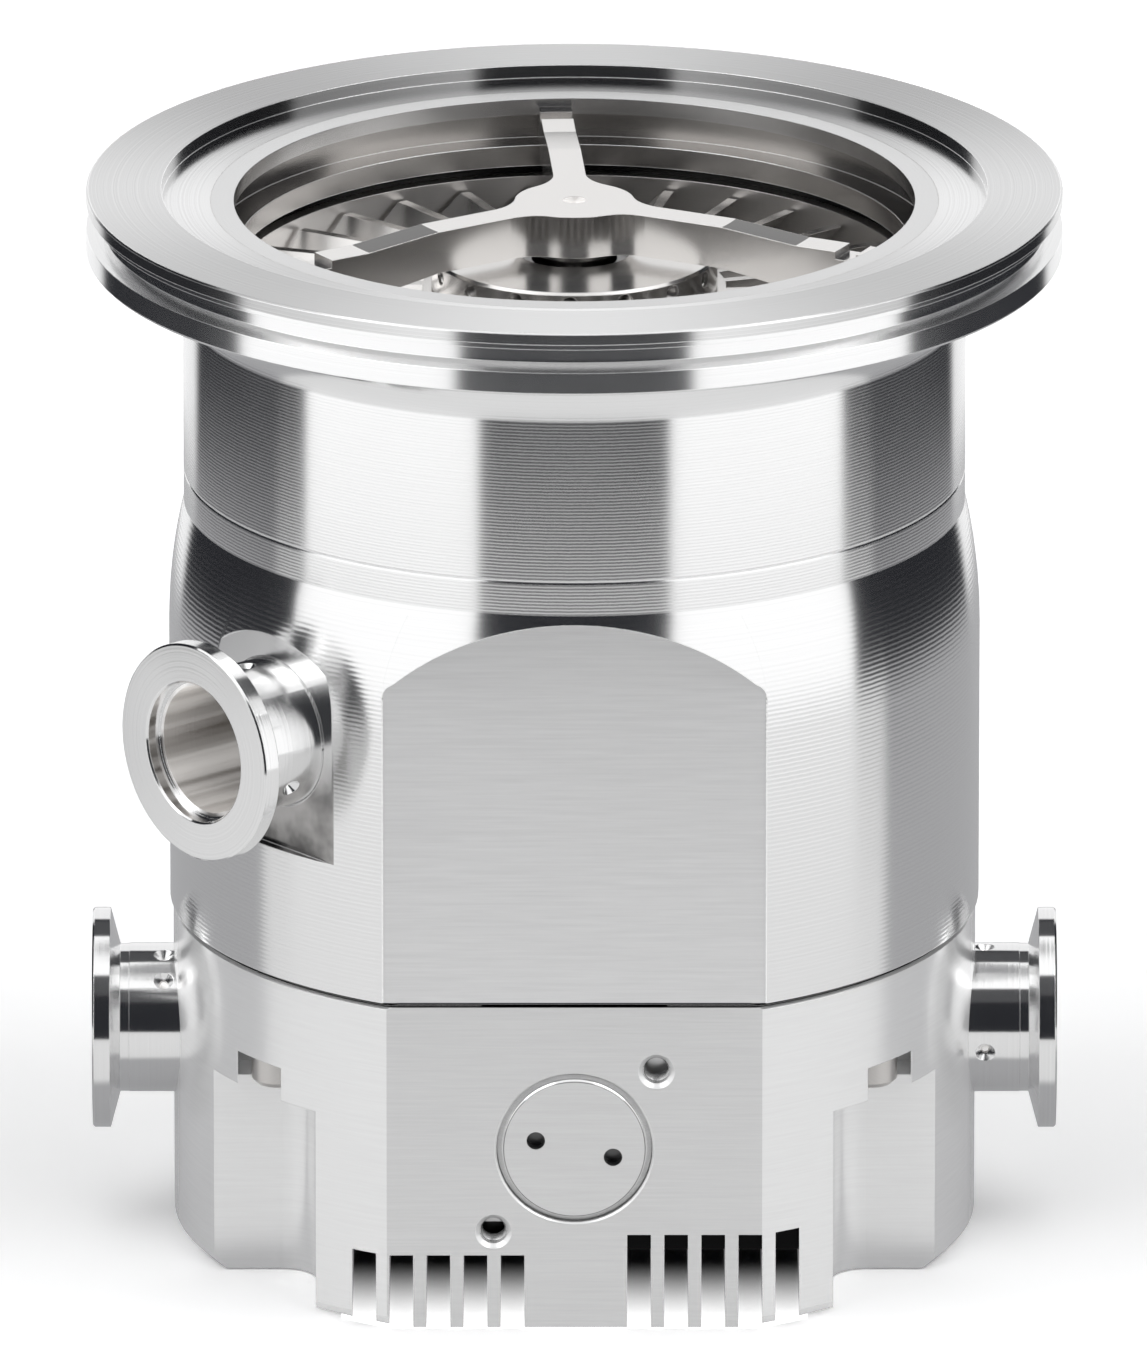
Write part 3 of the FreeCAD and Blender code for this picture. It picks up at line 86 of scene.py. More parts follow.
# %% Node helper
class Graph:
    """A node tree with short calls for the nodes that this lesson uses."""

    def __init__(self, tree):
        self.tree = tree

    def node(self, kind, inputs=(), **settings):
        """Add a node; inputs maps the names or numbers of its sockets to values or outputs."""
        made = self.tree.nodes.new(kind)
        for name, setting in settings.items():
            setattr(made, name, setting)
        for key, entry in dict(inputs).items():
            if isinstance(entry, bpy.types.NodeSocket):
                self.tree.links.new(entry, made.inputs[key])
            else:
                made.inputs[key].default_value = entry
        return made

    def math(self, operation, *entries, clamp=False):
        """One Math node."""
        made = self.node("ShaderNodeMath", enumerate(entries), operation=operation, use_clamp=clamp)
        return made.outputs[0]

    def vector(self, operation, *entries):
        """One Vector Math node; dot products and lengths give a number."""
        made = self.node("ShaderNodeVectorMath", operation=operation)
        for key, entry in enumerate(entries):
            key = "Scale" if operation == "SCALE" and key == 1 else key
            if isinstance(entry, bpy.types.NodeSocket):
                self.tree.links.new(entry, made.inputs[key])
            else:
                made.inputs[key].default_value = entry
        return made.outputs["Value" if operation in ("DOT_PRODUCT", "LENGTH") else "Vector"]

    def step(self, entry, low, high, start=0.0, end=1.0):
        """A smooth change from start to end as entry goes from low to high."""
        made = self.node("ShaderNodeMapRange", {0: entry, 1: low, 2: high, 3: start, 4: end},
                         interpolation_type="SMOOTHSTEP")
        return made.outputs[0]

    def band(self, entry, low, high, soft):
        """1 between low and high, 0 outside, with soft edges."""
        return self.math("MULTIPLY", self.step(entry, low - soft, low + soft),
                         self.step(entry, high - soft, high + soft, 1.0, 0.0))

    def blend(self, factor, first, second):
        """A number between two numbers."""
        made = self.node("ShaderNodeMix", {0: factor, 2: first, 3: second})
        return made.outputs[0]

    def tint(self, factor, first, second):
        """A colour between two colours."""
        made = self.node("ShaderNodeMix", {0: factor, 6: first, 7: second}, data_type="RGBA")
        return made.outputs[2]

    def split(self, vector):
        """The three parts of a vector."""
        return self.node("ShaderNodeSeparateXYZ", {0: vector}).outputs

    def noise(self, vector, scale, detail=2.0, roughness=0.5):
        """Noise from 0 to 1 over space."""
        made = self.node("ShaderNodeTexNoise", {"Vector": vector, "Scale": scale, "Detail": detail,
                                                "Roughness": roughness})
        return made.outputs[0]


print("node helper ready")

# %% [markdown]
# ## The studio
#
# The photograph shows a polished thing in a white room with dark gaps. Its mirror bands tell where the
# panels stood. A vertical wall that faces the camera mirrors the edge of the table and the dark room
# behind the camera. Turn 14 degrees and it mirrors a tall white panel, from 28 to 86 degrees to each
# side. Then comes a dark gap, and behind the pump the white backdrop. Overhead hangs a white ceiling
# panel, and the gap below it gets only a faint light from the room. Lamps could stand for the panels,
# but the world shader can hold them all: it only has to say how bright each direction is, it has no
# edges to catch on anything, and it renders with little noise. The camera itself sees plain white.

# %% World with panels
ROOM = (0.022, 0.023, 0.027, 1)
WHITE = (1.0, 1.0, 1.0, 1)
SIDE_LEVEL = 1.15
BACKDROP_LEVEL = 0.95
CEILING_LEVEL = 1.12
UPPER_ROOM_LEVEL = 0.06


def build_studio():
    """Panels of light by direction: two tall ones, a ceiling, a backdrop, and a dark room between."""
    world = bpy.data.worlds.new("studio")
    world.use_nodes = True
    world.node_tree.nodes.clear()
    graph = Graph(world.node_tree)
    direction = graph.node("ShaderNodeTexCoord").outputs["Generated"]
    x, y, z = graph.split(direction)
    azimuth = graph.math("ARCTAN2", graph.math("ABSOLUTE", x), graph.math("MULTIPLY", y, -1.0))
    rise = graph.math("ARCSINE", z)
    degree = math.radians(1)
    sides = graph.math("MULTIPLY", graph.band(azimuth, 28 * degree, 86 * degree, 1.2 * degree),
                       graph.step(rise, 60 * degree, 64 * degree, 1.0, 0.0))
    backdrop = graph.math("MULTIPLY", graph.step(azimuth, 146 * degree, 152 * degree),
                          graph.step(rise, 34 * degree, 38 * degree, 1.0, 0.0))
    overhead = graph.math("DIVIDE", y, graph.math("MAXIMUM", z, 0.01))
    across = graph.math("DIVIDE", graph.math("ABSOLUTE", x), graph.math("MAXIMUM", z, 0.01))
    ceiling = graph.math("MULTIPLY", graph.band(overhead, -0.51, 0.42, 0.02),
                         graph.step(across, 1.5, 1.6, 1.0, 0.0))
    high = graph.step(rise, 38 * degree, 44 * degree)
    light = 0.0
    for panel, level in ((sides, SIDE_LEVEL), (backdrop, BACKDROP_LEVEL), (ceiling, CEILING_LEVEL),
                         (high, UPPER_ROOM_LEVEL)):
        light = graph.math("ADD", light, graph.math("MULTIPLY", panel, level))
    colour = graph.node("ShaderNodeMix", {0: 1.0, 6: ROOM}, data_type="RGBA", blend_type="ADD")
    world.node_tree.links.new(light, colour.inputs[7])
    seen = graph.node("ShaderNodeLightPath").outputs["Is Camera Ray"]
    shown = graph.tint(seen, colour.outputs[2], WHITE)
    background = graph.node("ShaderNodeBackground", {"Color": shown, "Strength": 1.0})
    graph.node("ShaderNodeOutputWorld", {"Surface": background.outputs[0]})
    bpy.context.scene.world = world
    return world


build_studio()
print("studio: two side panels, ceiling and backdrop")

# %% [markdown]
# ## The table
#
# The pump stands on a pale table. Its polished walls show how large and how bright it was: the lower
# walls mirror the table, and the neck, which looks further out, mirrors half table and half dark room.
# So for mirror rays the table ends 0.5 m from the axis, and it is in shade behind a line that starts
# beside the pump. A part of what mirror rays see is a plain glow, because the walls near the foot
# mirror a table that is lit right up to the pump. The camera sees the table lit up to the white of the
# backdrop, with the pump's shadow left on it. Through the cooling slots it sees light that spills in
# from the front and fades with depth.

# %% Floor
TABLE_EDGE = 0.50
TABLE_COLOUR = (0.86, 0.86, 0.86, 1)
SHADED_COLOUR = (0.46, 0.46, 0.47, 1)
SHOWN_COLOUR = (1.35, 1.35, 1.35, 1)
MIRRORED_LEVEL = 1.0
MIRRORED_SHARE = 0.6
SHADE_START = 58.4 * MM
SHADE_SLOPE = 0.177
SPILL_START = -66 * MM
SPILL_END = -28 * MM
SPILL_RADIUS = 74 * MM
SPILL_HALF_WIDTH = 43 * MM
FLOOR_REACH = 4.0
FLOOR_DROP = 0.2 * MM


def build_floor():
    """A wide pale disc under the pump."""
    mesh = bpy.data.meshes.new("floor")
    floor = bpy.data.objects.new("floor", mesh)
    bpy.context.scene.collection.objects.link(floor)
    shape = bmesh.new()
    bmesh.ops.create_circle(shape, cap_ends=True, radius=FLOOR_REACH, segments=96)
    shape.to_mesh(mesh)
    shape.free()
    floor.location.z = -FLOOR_DROP
    material = bpy.data.materials.new("floor")
    material.use_nodes = True
    material.node_tree.nodes.clear()
    graph = Graph(material.node_tree)
    path = graph.node("ShaderNodeLightPath").outputs
    place = graph.node("ShaderNodeTexCoord").outputs["Object"]
    x, y, z = graph.split(place)
    beyond = graph.step(graph.vector("LENGTH", place), TABLE_EDGE - 0.03, TABLE_EDGE + 0.03)
    gone = graph.math("MULTIPLY", beyond, path["Is Glossy Ray"])
    line = graph.math("ADD", y, graph.math("SUBTRACT", SHADE_START,
                                           graph.math("MULTIPLY", graph.math("ABSOLUTE", x), SHADE_SLOPE)))
    shaded = graph.math("MULTIPLY", graph.step(line, -6 * MM, 6 * MM), path["Is Glossy Ray"])
    colour = graph.tint(shaded, TABLE_COLOUR, SHADED_COLOUR)
    colour = graph.tint(path["Is Camera Ray"], colour, SHOWN_COLOUR)
    lit = graph.node("ShaderNodeBsdfDiffuse", {"Color": colour})
    glow = graph.node("ShaderNodeEmission", {"Color": colour, "Strength": MIRRORED_LEVEL})
    mirrored = graph.math("MULTIPLY", path["Is Glossy Ray"], MIRRORED_SHARE)
    pale = graph.node("ShaderNodeMixShader", {0: mirrored, 1: lit.outputs[0], 2: glow.outputs[0]})
    spill = graph.math("MULTIPLY", graph.step(y, SPILL_START, SPILL_END, 1.0, 0.0), path["Is Camera Ray"])
    within = graph.math("LESS_THAN", graph.vector("LENGTH", place), SPILL_RADIUS)
    between = graph.math("LESS_THAN", graph.math("ABSOLUTE", x), SPILL_HALF_WIDTH)
    for limit in (graph.math("GREATER_THAN", y, SPILL_START), within, between):
        spill = graph.math("MULTIPLY", spill, limit)
    shine = graph.node("ShaderNodeEmission", {"Strength": spill})
    pale = graph.node("ShaderNodeAddShader", {0: pale.outputs[0], 1: shine.outputs[0]})
    clear = graph.node("ShaderNodeBsdfTransparent")
    surface = graph.node("ShaderNodeMixShader", {0: gone, 1: pale.outputs[0], 2: clear.outputs[0]})
    graph.node("ShaderNodeOutputMaterial", {"Surface": surface.outputs[0]})
    mesh.materials.append(material)
    return floor


build_floor()
print("floor ready")

# %% [markdown]
# ## Marks of the lathe
#
# A turned surface is a fine screw thread. Each turn of the tool leaves a ring, and the rings tip the
# mirror image up and down but not sideways, which is why the white and dark bands on the pump run
# straight up its walls with sharp sides. Real grooves this fine would need millions of faces, and a
# Bump node blurs them at this scale. So this group tips the normal itself: a wave along the axis and
# out along the radius gives the regular rings, and noise along the same line gives the odd deeper
# scratch. It serves every turned piece, with its own axis, pitch and depth.

# %% Turning marks
def new_group(name, inputs, outputs):
    """An empty node group with its sockets; returns its graph, its input sockets and its output node."""
    tree = bpy.data.node_groups.new(name, "ShaderNodeTree")
    for label, kind, default in inputs:
        socket = tree.interface.new_socket(label, in_out="INPUT", socket_type="NodeSocket" + kind)
        socket.default_value = default
    for label, kind in outputs:
        tree.interface.new_socket(label, in_out="OUTPUT", socket_type="NodeSocket" + kind)
    graph = Graph(tree)
    return graph, graph.node("NodeGroupInput").outputs, graph.node("NodeGroupOutput")


def build_turning_marks():
    """Rings about an axis: a tipped normal, and a streaky mask from 0 to 1."""
    graph, given, result = new_group(
        "turning_marks",
        [("Centre", "Vector", (0, 0, 0)), ("Axis", "Vector", (0, 0, 1)), ("Pitch", "Float", 0.0007),
         ("Depth", "Float", 0.05), ("Streaks", "Float", 0.03), ("Normal", "Vector", (0, 0, 1))],
        [("Normal", "Vector"), ("Streak", "Float")])
    place = graph.vector("SUBTRACT", graph.node("ShaderNodeTexCoord").outputs["Object"], given["Centre"])
    along = graph.vector("DOT_PRODUCT", place, given["Axis"])
    outward = graph.vector("SUBTRACT", place, graph.vector("SCALE", given["Axis"], along))
    run = graph.math("ADD", along, graph.vector("LENGTH", outward))
    wave = graph.math("SINE", graph.math("DIVIDE", graph.math("MULTIPLY", run, 2 * math.pi), given["Pitch"]))
    streak = graph.node("ShaderNodeTexNoise", {"W": run, "Scale": 2600.0, "Detail": 3.0, "Roughness": 0.7},
                        noise_dimensions="1D").outputs[0]
    tilt = graph.math("ADD", graph.math("MULTIPLY", wave, given["Depth"]),
                      graph.math("MULTIPLY", graph.math("SUBTRACT", streak, 0.5), given["Streaks"]))
    slope = graph.vector("ADD", given["Axis"], graph.vector("NORMALIZE", outward))
    slope = graph.node("ShaderNodeVectorTransform", {0: graph.vector("SCALE", slope, tilt)},
                       vector_type="VECTOR", convert_from="OBJECT", convert_to="WORLD").outputs[0]
    tipped = graph.vector("NORMALIZE", graph.vector("ADD", given["Normal"], slope))
    graph.tree.links.new(tipped, result.inputs["Normal"])
    graph.tree.links.new(streak, result.inputs["Streak"])
    return graph.tree


TURNING_MARKS = build_turning_marks()
print("group:", TURNING_MARKS.name)

# %% [markdown]
# ## Marks of the mill and of handling
#
# Milled faces carry fine parallel lines, and every bare metal surface has cloudy patches where it was
# wiped, touched and oxidised. One group gives both: a mask of lines that run along one direction, and
# a soft cloud. Materials use them to vary colour and roughness a little.

# %% Milled lines and clouds
def build_surface_wear():
    """Fine lines along a direction, and soft clouds, each from 0 to 1."""
    graph, given, result = new_group(
        "surface_wear",
        [("Across", "Vector", (0, 0, 1)), ("Line size", "Float", 0.00045), ("Cloud size", "Float", 0.02)],
        [("Lines", "Float"), ("Clouds", "Float")])
    place = graph.node("ShaderNodeTexCoord").outputs["Object"]
    across = graph.vector("DOT_PRODUCT", place, given["Across"])
    stretched = graph.vector("ADD", graph.vector("SCALE", place, 0.03),
                             graph.vector("SCALE", given["Across"], across))
    lines = graph.noise(stretched, graph.math("DIVIDE", 1.0, given["Line size"]), 3.0, 0.6)
    clouds = graph.noise(place, graph.math("DIVIDE", 1.0, given["Cloud size"]), 4.0, 0.6)
    graph.tree.links.new(lines, result.inputs["Lines"])
    graph.tree.links.new(clouds, result.inputs["Clouds"])
    return graph.tree


SURFACE_WEAR = build_surface_wear()
print("group:", SURFACE_WEAR.name)

# %% [markdown]
# ## Broken edges
#
# A machinist breaks each sharp edge with a file or a fine chamfer, and the edge then catches a thin
# bright line of light. Modelling every one would fill the mesh with slivers. The Bevel node rounds the
# normal near an edge at render time instead. Where its normal leaves the face's own, there is an edge,
# and that difference also serves as a mask for the wear.

# %% Edge wear
def build_edge_wear():
    """A normal that rounds the edges, and a mask that is 1 on them."""
    graph, given, result = new_group(
        "edge_wear", [("Width", "Float", 0.0003)], [("Normal", "Vector"), ("Edge", "Float")])
    rounded = graph.node("ShaderNodeBevel", {"Radius": given["Width"]}, samples=4).outputs[0]
    plain = graph.node("ShaderNodeNewGeometry").outputs["Normal"]
    turn = graph.math("SUBTRACT", 1.0, graph.vector("DOT_PRODUCT", rounded, plain))
    graph.tree.links.new(rounded, result.inputs["Normal"])
    graph.tree.links.new(graph.step(turn, 0.01, 0.12), result.inputs["Edge"])
    return graph.tree


EDGE_WEAR = build_edge_wear()
print("group:", EDGE_WEAR.name)

# %% [markdown]
# ## A start for each material
#
# Every metal here is a Principled BSDF with its own grey, roughness and marks. Anisotropy smears the
# mirror image across the grooves. The shader has to know which way the grooves run: round the axis of
# the lathe, so their direction is the cross product of that axis and the place on the surface. The
# Tangent node would only know the main axes, and the port at the front left stands aslant.

# %% Material starter
ACROSS_THE_GROOVES = 0.25


def start_material(name, metallic=1.0, anisotropic=0.0, axis=(0, 0, 1), centre=(0, 0, 0)):
    """A material with a Principled BSDF; returns it, its graph and the BSDF."""
    material = bpy.data.materials.new(name)
    material.use_nodes = True
    tree = material.node_tree
    shader = tree.nodes["Principled BSDF"]
    shader.inputs["Metallic"].default_value = metallic
    graph = Graph(tree)
    if anisotropic:
        shader.inputs["Anisotropic"].default_value = anisotropic
        shader.inputs["Anisotropic Rotation"].default_value = ACROSS_THE_GROOVES
        place = graph.vector("SUBTRACT", graph.node("ShaderNodeTexCoord").outputs["Object"], centre)
        along = graph.vector("CROSS_PRODUCT", axis, place)
        tangent = graph.node("ShaderNodeVectorTransform", {0: along}, vector_type="VECTOR",
                             convert_from="OBJECT", convert_to="WORLD")
        tree.links.new(tangent.outputs[0], shader.inputs["Tangent"])
    return material, graph, shader


def place_group(graph, group, **entries):
    """Put a group in a material with its own values; underscores in names stand for spaces."""
    made = graph.node("ShaderNodeGroup", node_tree=group)
    for name, entry in entries.items():
        socket = made.inputs[name.replace("_", " ")]
        if isinstance(entry, bpy.types.NodeSocket):
            graph.tree.links.new(entry, socket)
        else:
            socket.default_value = entry
    return made.outputs


def connect(graph, shader, **entries):
    """Feed the shader's sockets."""
    for name, entry in entries.items():
        socket = shader.inputs[name.replace("_", " ")]
        if isinstance(entry, bpy.types.NodeSocket):
            graph.tree.links.new(entry, socket)
        else:
            socket.default_value = entry


def grey(level, warmth=0.0):
    """A grey with a little warmth."""
    return (level * (1 + warmth), level, level * (1 - warmth), 1)


def dress(material, *names):
    """Give a material to CAD nodes."""
    for name in names:
        NODES[name].material_slots[0].material = material


print("material starter ready")

# %% [markdown]
# ## The envelope
#
# The upper housing is one turned casting with several finishes. The flange is faced fine, the neck and
# the body are turned with a coarse feed that leaves rings to see, the throat is bored, and the front
# and the pad behind the interstage port are milled. Each finish has its place, so masks by place tell
# them apart, inside one material. The seam to the base below is a groove full of shade, and so is the
# gap under the ledge in the throat. The flange's top is brushed round its axis. The cross of brighter
# and darker sectors that this brushing shows in the light is a painted reflection in its colour, and
# the recess floor has painted shade, lighter at the front and darker at the back. Broken edges get a
# faint glint of their own, because they mirror lights too small to be among the panels. No roughness
# here crosses 0.274: on either side of it the denoiser treats a surface differently, and a cloudy
# roughness that crosses it leaves scribbled lines.

# %% Envelope material
FLAT_DISTANCE = 65.9 * MM
PAD_DISTANCE = 73.2 * MM
PAD_TURN = math.radians(49)
PAD_OUTWARD = (-math.sin(PAD_TURN), -math.cos(PAD_TURN), 0)
NECK_EDGE = 139.8 * MM
SCRIBE_LEVEL = 146.1 * MM
ARCH_TOP = 138 * MM
ARCH_HALF_WIDTH = 35.05 * MM
RECESS_FLOOR = 197.2 * MM
LEDGE_BOTTOM = 184.45 * MM
SEAM_HEIGHT = 62.2 * MM
SEAM_GAP = 0.9 * MM
NECK_TOP = 178 * MM
PAD_BOTTOM = 88 * MM
PAD_TOP = 130 * MM
WALL_RADIUS = 74.95 * MM
THROAT_RADIUS = 67.2 * MM
NECK_FEED = 0.62 * MM
BODY_FEED = 0.85 * MM
NEAR = 0.1 * MM
VERY_NEAR = 0.01 * MM
EDGE_GLINT = 0.3
PAINTED_SECTORS_LEVEL = 0.57


def near(graph, entry, level, width=NEAR):
    """1 where an entry is close to a level."""
    return graph.math("COMPARE", entry, level, width)


def inverse(graph, entry):
    """1 less an entry."""
    return graph.math("SUBTRACT", 1.0, entry)


def make_envelope_material():
    """Turned aluminium with ringed walls, a fine flange, a bored throat and milled faces."""
    material, graph, shader = start_material("envelope_aluminium", anisotropic=0.75)
    place = graph.node("ShaderNodeTexCoord").outputs["Object"]
    x, y, z = graph.split(place)
    radius = graph.vector("LENGTH", graph.vector("MULTIPLY", place, (1, 1, 0)))
    below_neck = graph.step(z, NECK_EDGE - NEAR, NECK_EDGE + NEAR, 1.0, 0.0)
    neck = graph.band(z, NECK_EDGE, NECK_TOP, 0.3 * MM)
    flat = graph.math("MULTIPLY", near(graph, y, -FLAT_DISTANCE, VERY_NEAR),
                      graph.math("LESS_THAN", z, ARCH_TOP))
    flat = graph.math("MULTIPLY", flat, graph.math("LESS_THAN", graph.math("ABSOLUTE", x), ARCH_HALF_WIDTH))
    pad = graph.math("MULTIPLY", near(graph, graph.vector("DOT_PRODUCT", place, PAD_OUTWARD), PAD_DISTANCE),
                     graph.band(z, PAD_BOTTOM, PAD_TOP, NEAR))
    milled = graph.math("MAXIMUM", flat, pad)
    seam = graph.math("MULTIPLY", near(graph, z, SEAM_HEIGHT + SEAM_GAP / 2, SEAM_GAP / 2 + 0.02 * MM),
                      graph.math("LESS_THAN", radius, WALL_RADIUS))
    throat = graph.math("MULTIPLY", graph.math("LESS_THAN", radius, THROAT_RADIUS), inverse(graph, milled))
    rings = graph.math("MULTIPLY", graph.math("MAXIMUM", neck, below_neck),
                       graph.math("GREATER_THAN", radius, 70 * MM))
    rings = graph.math("MULTIPLY", rings, inverse(graph, milled))
    edges = place_group(graph, EDGE_WEAR, Width=0.25 * MM)
    marks = place_group(graph, TURNING_MARKS, Pitch=graph.blend(below_neck, NECK_FEED, BODY_FEED),
                        Depth=graph.math("MULTIPLY", rings, graph.blend(below_neck, 0.024, 0.045)),
                        Streaks=0.02, Normal=edges["Normal"])
    wear = place_group(graph, SURFACE_WEAR)
    top = graph.math("MULTIPLY", graph.math("GREATER_THAN", z, RECESS_FLOOR - NEAR),
                     graph.math("GREATER_THAN", radius, THROAT_RADIUS))
    sunk = graph.math("LESS_THAN", z, RECESS_FLOOR + NEAR)
    # Painted reflection and shade: a cross of brighter and darker sectors round the flange's top, over the
    # turning streaks; the recess floor is painted lighter at the front and darker at the back.
    far_side_shade = graph.step(y, 40 * MM, 62 * MM)
    turn = graph.math("ARCTAN2", x, graph.math("MULTIPLY", y, -1.0))
    quarters = graph.math("COSINE", graph.math("MULTIPLY", turn, 4.0))
    streak = graph.math("SUBTRACT", marks["Streak"], 0.5)
    cross = PAINTED_SECTORS_LEVEL
    for pattern, amount in ((quarters, 0.13), (graph.math("COSINE", turn), 0.085), (streak, 0.25)):
        cross = graph.math("ADD", cross, graph.math("MULTIPLY", pattern, amount))
    cross = graph.math("MULTIPLY", cross, graph.blend(sunk, 1.0, graph.blend(far_side_shade, 1.2, 0.7)))
    pit = graph.math("MULTIPLY", graph.math("LESS_THAN", z, LEDGE_BOTTOM), throat)
    low_pad = graph.math("MULTIPLY", pad, graph.step(z, 98 * MM, 112 * MM, 1.0, 0.0))
    scribe = graph.band(z, SCRIBE_LEVEL, SCRIBE_LEVEL + 0.5 * MM, NEAR)
    roughness = graph.blend(flat, 0.17, 0.31)
    roughness = graph.blend(throat, roughness, 0.24)
    clouds = graph.math("SUBTRACT", wear["Clouds"], 0.5)
    roughness = graph.math("ADD", roughness, graph.math("MULTIPLY", clouds, 0.05))
    colour = graph.tint(marks["Streak"], grey(0.82), grey(0.90))
    lines = graph.tint(wear["Lines"], grey(0.82), grey(1.0))
    colour = graph.tint(flat, colour, lines)
    streaked_painted_sectors = graph.node("ShaderNodeCombineColor", {0: cross, 1: cross, 2: cross}).outputs[0]
    colour = graph.tint(top, colour, streaked_painted_sectors)
    shadowed = graph.tint(graph.step(wear["Clouds"], 0.35, 0.65), grey(0.10, 0.02), grey(0.5, 0.02))
    colour = graph.tint(low_pad, colour, shadowed)
    colour = graph.tint(throat, colour, grey(0.56, 0.03))
    colour = graph.tint(edges["Edge"], colour, grey(0.97))
    colour = graph.tint(graph.math("MAXIMUM", seam, pit), colour, grey(0.02))
    metallic = graph.blend(graph.math("MAXIMUM", flat, scribe), 1.0, 0.48)
    edge = graph.math("MULTIPLY", edges["Edge"], inverse(graph, pit))
    glint = graph.tint(edge, grey(0.0), grey(EDGE_GLINT))
    connect(graph, shader, Base_Color=colour, Roughness=roughness, Metallic=metallic, Normal=marks["Normal"],
            Emission_Color=glint, Emission_Strength=1.0)
    return material


dress(make_envelope_material(), "envelope")
print("envelope dressed")

# %% [markdown]
# ## The base
#
# The lower housing is turned with a finer feed, then milled: the front, the pockets and the slots. All
# its faces are satin, so they show only a soft ghost of the mirror bands. A lower Metallic mixes in
# light that comes from all sides, as such a finely matted skin does. The slots are dark at the top and
# lit from below, so a mask blackens their walls with height.

# %% Base material
SLOTS_HALF_WIDTH = 42.5 * MM
SLOTS_FRONT = -59.5 * MM
SLOTS_BACK = 40 * MM
SLOTS_TOP = 18.4 * MM


def make_base_material():
    """Satin aluminium with fine lines, and painted shade in the seam and the slots."""
    material, graph, shader = start_material("base_aluminium", anisotropic=0.5)
    place = graph.node("ShaderNodeTexCoord").outputs["Object"]
    x, y, z = graph.split(place)
    radius = graph.vector("LENGTH", graph.vector("MULTIPLY", place, (1, 1, 0)))
    seam = graph.math("MULTIPLY", graph.math("GREATER_THAN", z, SEAM_HEIGHT - 0.02 * MM),
                      graph.math("LESS_THAN", radius, WALL_RADIUS))
    edges = place_group(graph, EDGE_WEAR, Width=0.25 * MM)
    marks = place_group(graph, TURNING_MARKS, Pitch=0.3 * MM, Depth=0.01, Streaks=0.03,
                        Normal=edges["Normal"])
    wear = place_group(graph, SURFACE_WEAR)
    clouds = graph.math("SUBTRACT", wear["Clouds"], 0.5)
    roughness = graph.math("ADD", 0.22, graph.math("MULTIPLY", clouds, 0.06))
    front = near(graph, y, -FLAT_DISTANCE, VERY_NEAR)
    colour = graph.tint(wear["Lines"], grey(0.88), grey(1.0))
    colour = graph.tint(front, colour, graph.tint(wear["Lines"], grey(0.70), grey(0.84)))
    colour = graph.tint(edges["Edge"], colour, grey(0.97))
    slots = graph.math("MULTIPLY", graph.band(y, SLOTS_FRONT, SLOTS_BACK, NEAR),
                       graph.math("LESS_THAN", graph.math("ABSOLUTE", x), SLOTS_HALF_WIDTH))
    slots = graph.math("MULTIPLY", slots, graph.math("LESS_THAN", z, SLOTS_TOP))
    depth = graph.math("MAXIMUM", graph.step(z, -1 * MM, 9 * MM), graph.step(y, -45 * MM, -30 * MM))
    shade = graph.math("MULTIPLY", slots, depth)
    # Painted shade: the seam and the slots' walls turn near-black; low at the slots' front it fades out.
    colour = graph.tint(graph.math("MAXIMUM", seam, shade), colour, grey(0.02))
    connect(graph, shader, Base_Color=colour, Roughness=roughness, Normal=marks["Normal"],
            Metallic=graph.blend(shade, 0.58, 1.0))
    return material


dress(make_base_material(), "base")
print("base dressed")

# %% [markdown]
# ## The plug
#
# The vent port's plug is faced like the flat round it, but its wide bevel is turned bright, with a
# thin line of painted shade where face and bevel meet. So the plug's material is satin within a radius
# and polished beyond it. Painted shade darkens the two pin holes.

# %% Plug material
PLUG_LEVEL = 34.7 * MM
PLUG_FACE_RADIUS = 12.93 * MM


def make_plug_material():
    """Satin face, polished bevel."""
    material, graph, shader = start_material("plug_aluminium")
    place = graph.vector("SUBTRACT", graph.node("ShaderNodeTexCoord").outputs["Object"], (0, 0, PLUG_LEVEL))
    x, y, z = graph.split(place)
    away = graph.vector("LENGTH", graph.vector("MULTIPLY", place, (1, 0, 1)))
    face = graph.math("LESS_THAN", away, PLUG_FACE_RADIUS)
    rim_shade_line = graph.band(away, PLUG_FACE_RADIUS, PLUG_FACE_RADIUS + 0.16 * MM, 0.04 * MM)
    pin_hole_shade = graph.math("MULTIPLY", graph.math("GREATER_THAN", y, -FLAT_DISTANCE + 0.25 * MM), face)
    edges = place_group(graph, EDGE_WEAR, Width=0.1 * MM)
    wear = place_group(graph, SURFACE_WEAR)
    clouds = graph.math("SUBTRACT", wear["Clouds"], 0.5)
    roughness = graph.math("ADD", graph.blend(face, 0.07, 0.24), graph.math("MULTIPLY", clouds, 0.04))
    colour = graph.tint(wear["Lines"], grey(0.70), grey(0.84))
    # Painted shade: a thin dark line at the edge of the face, and dark pin holes.
    colour = graph.tint(rim_shade_line, colour, grey(0.25))
    colour = graph.tint(pin_hole_shade, colour, grey(0.16))
    connect(graph, shader, Base_Color=colour, Roughness=roughness, Metallic=graph.blend(face, 1.0, 0.5),
            Normal=edges["Normal"])
    return material


dress(make_plug_material(), "vent_plug")
print("plug dressed")

# %% [markdown]
# ## The other metals
#
# One function makes the rest. Each metal has its grey, its roughness and the axis of its own lathe, so
# a ring on a side port runs round that port. Bores are left rougher than the outside, because nothing
# polishes them, and they glow a little in streaks along their length: light that comes in at the mouth
# bounces there more often than the render follows it. The ramps on the two front arms of the bearing
# holder mirror the dark room, so they are shaded.

# %% Metals
BORE_ROUGHNESS = 0.3
RAMP_START = 31.9 * MM
RAMP_END = 47 * MM
LEVEL_ENOUGH = 0.9


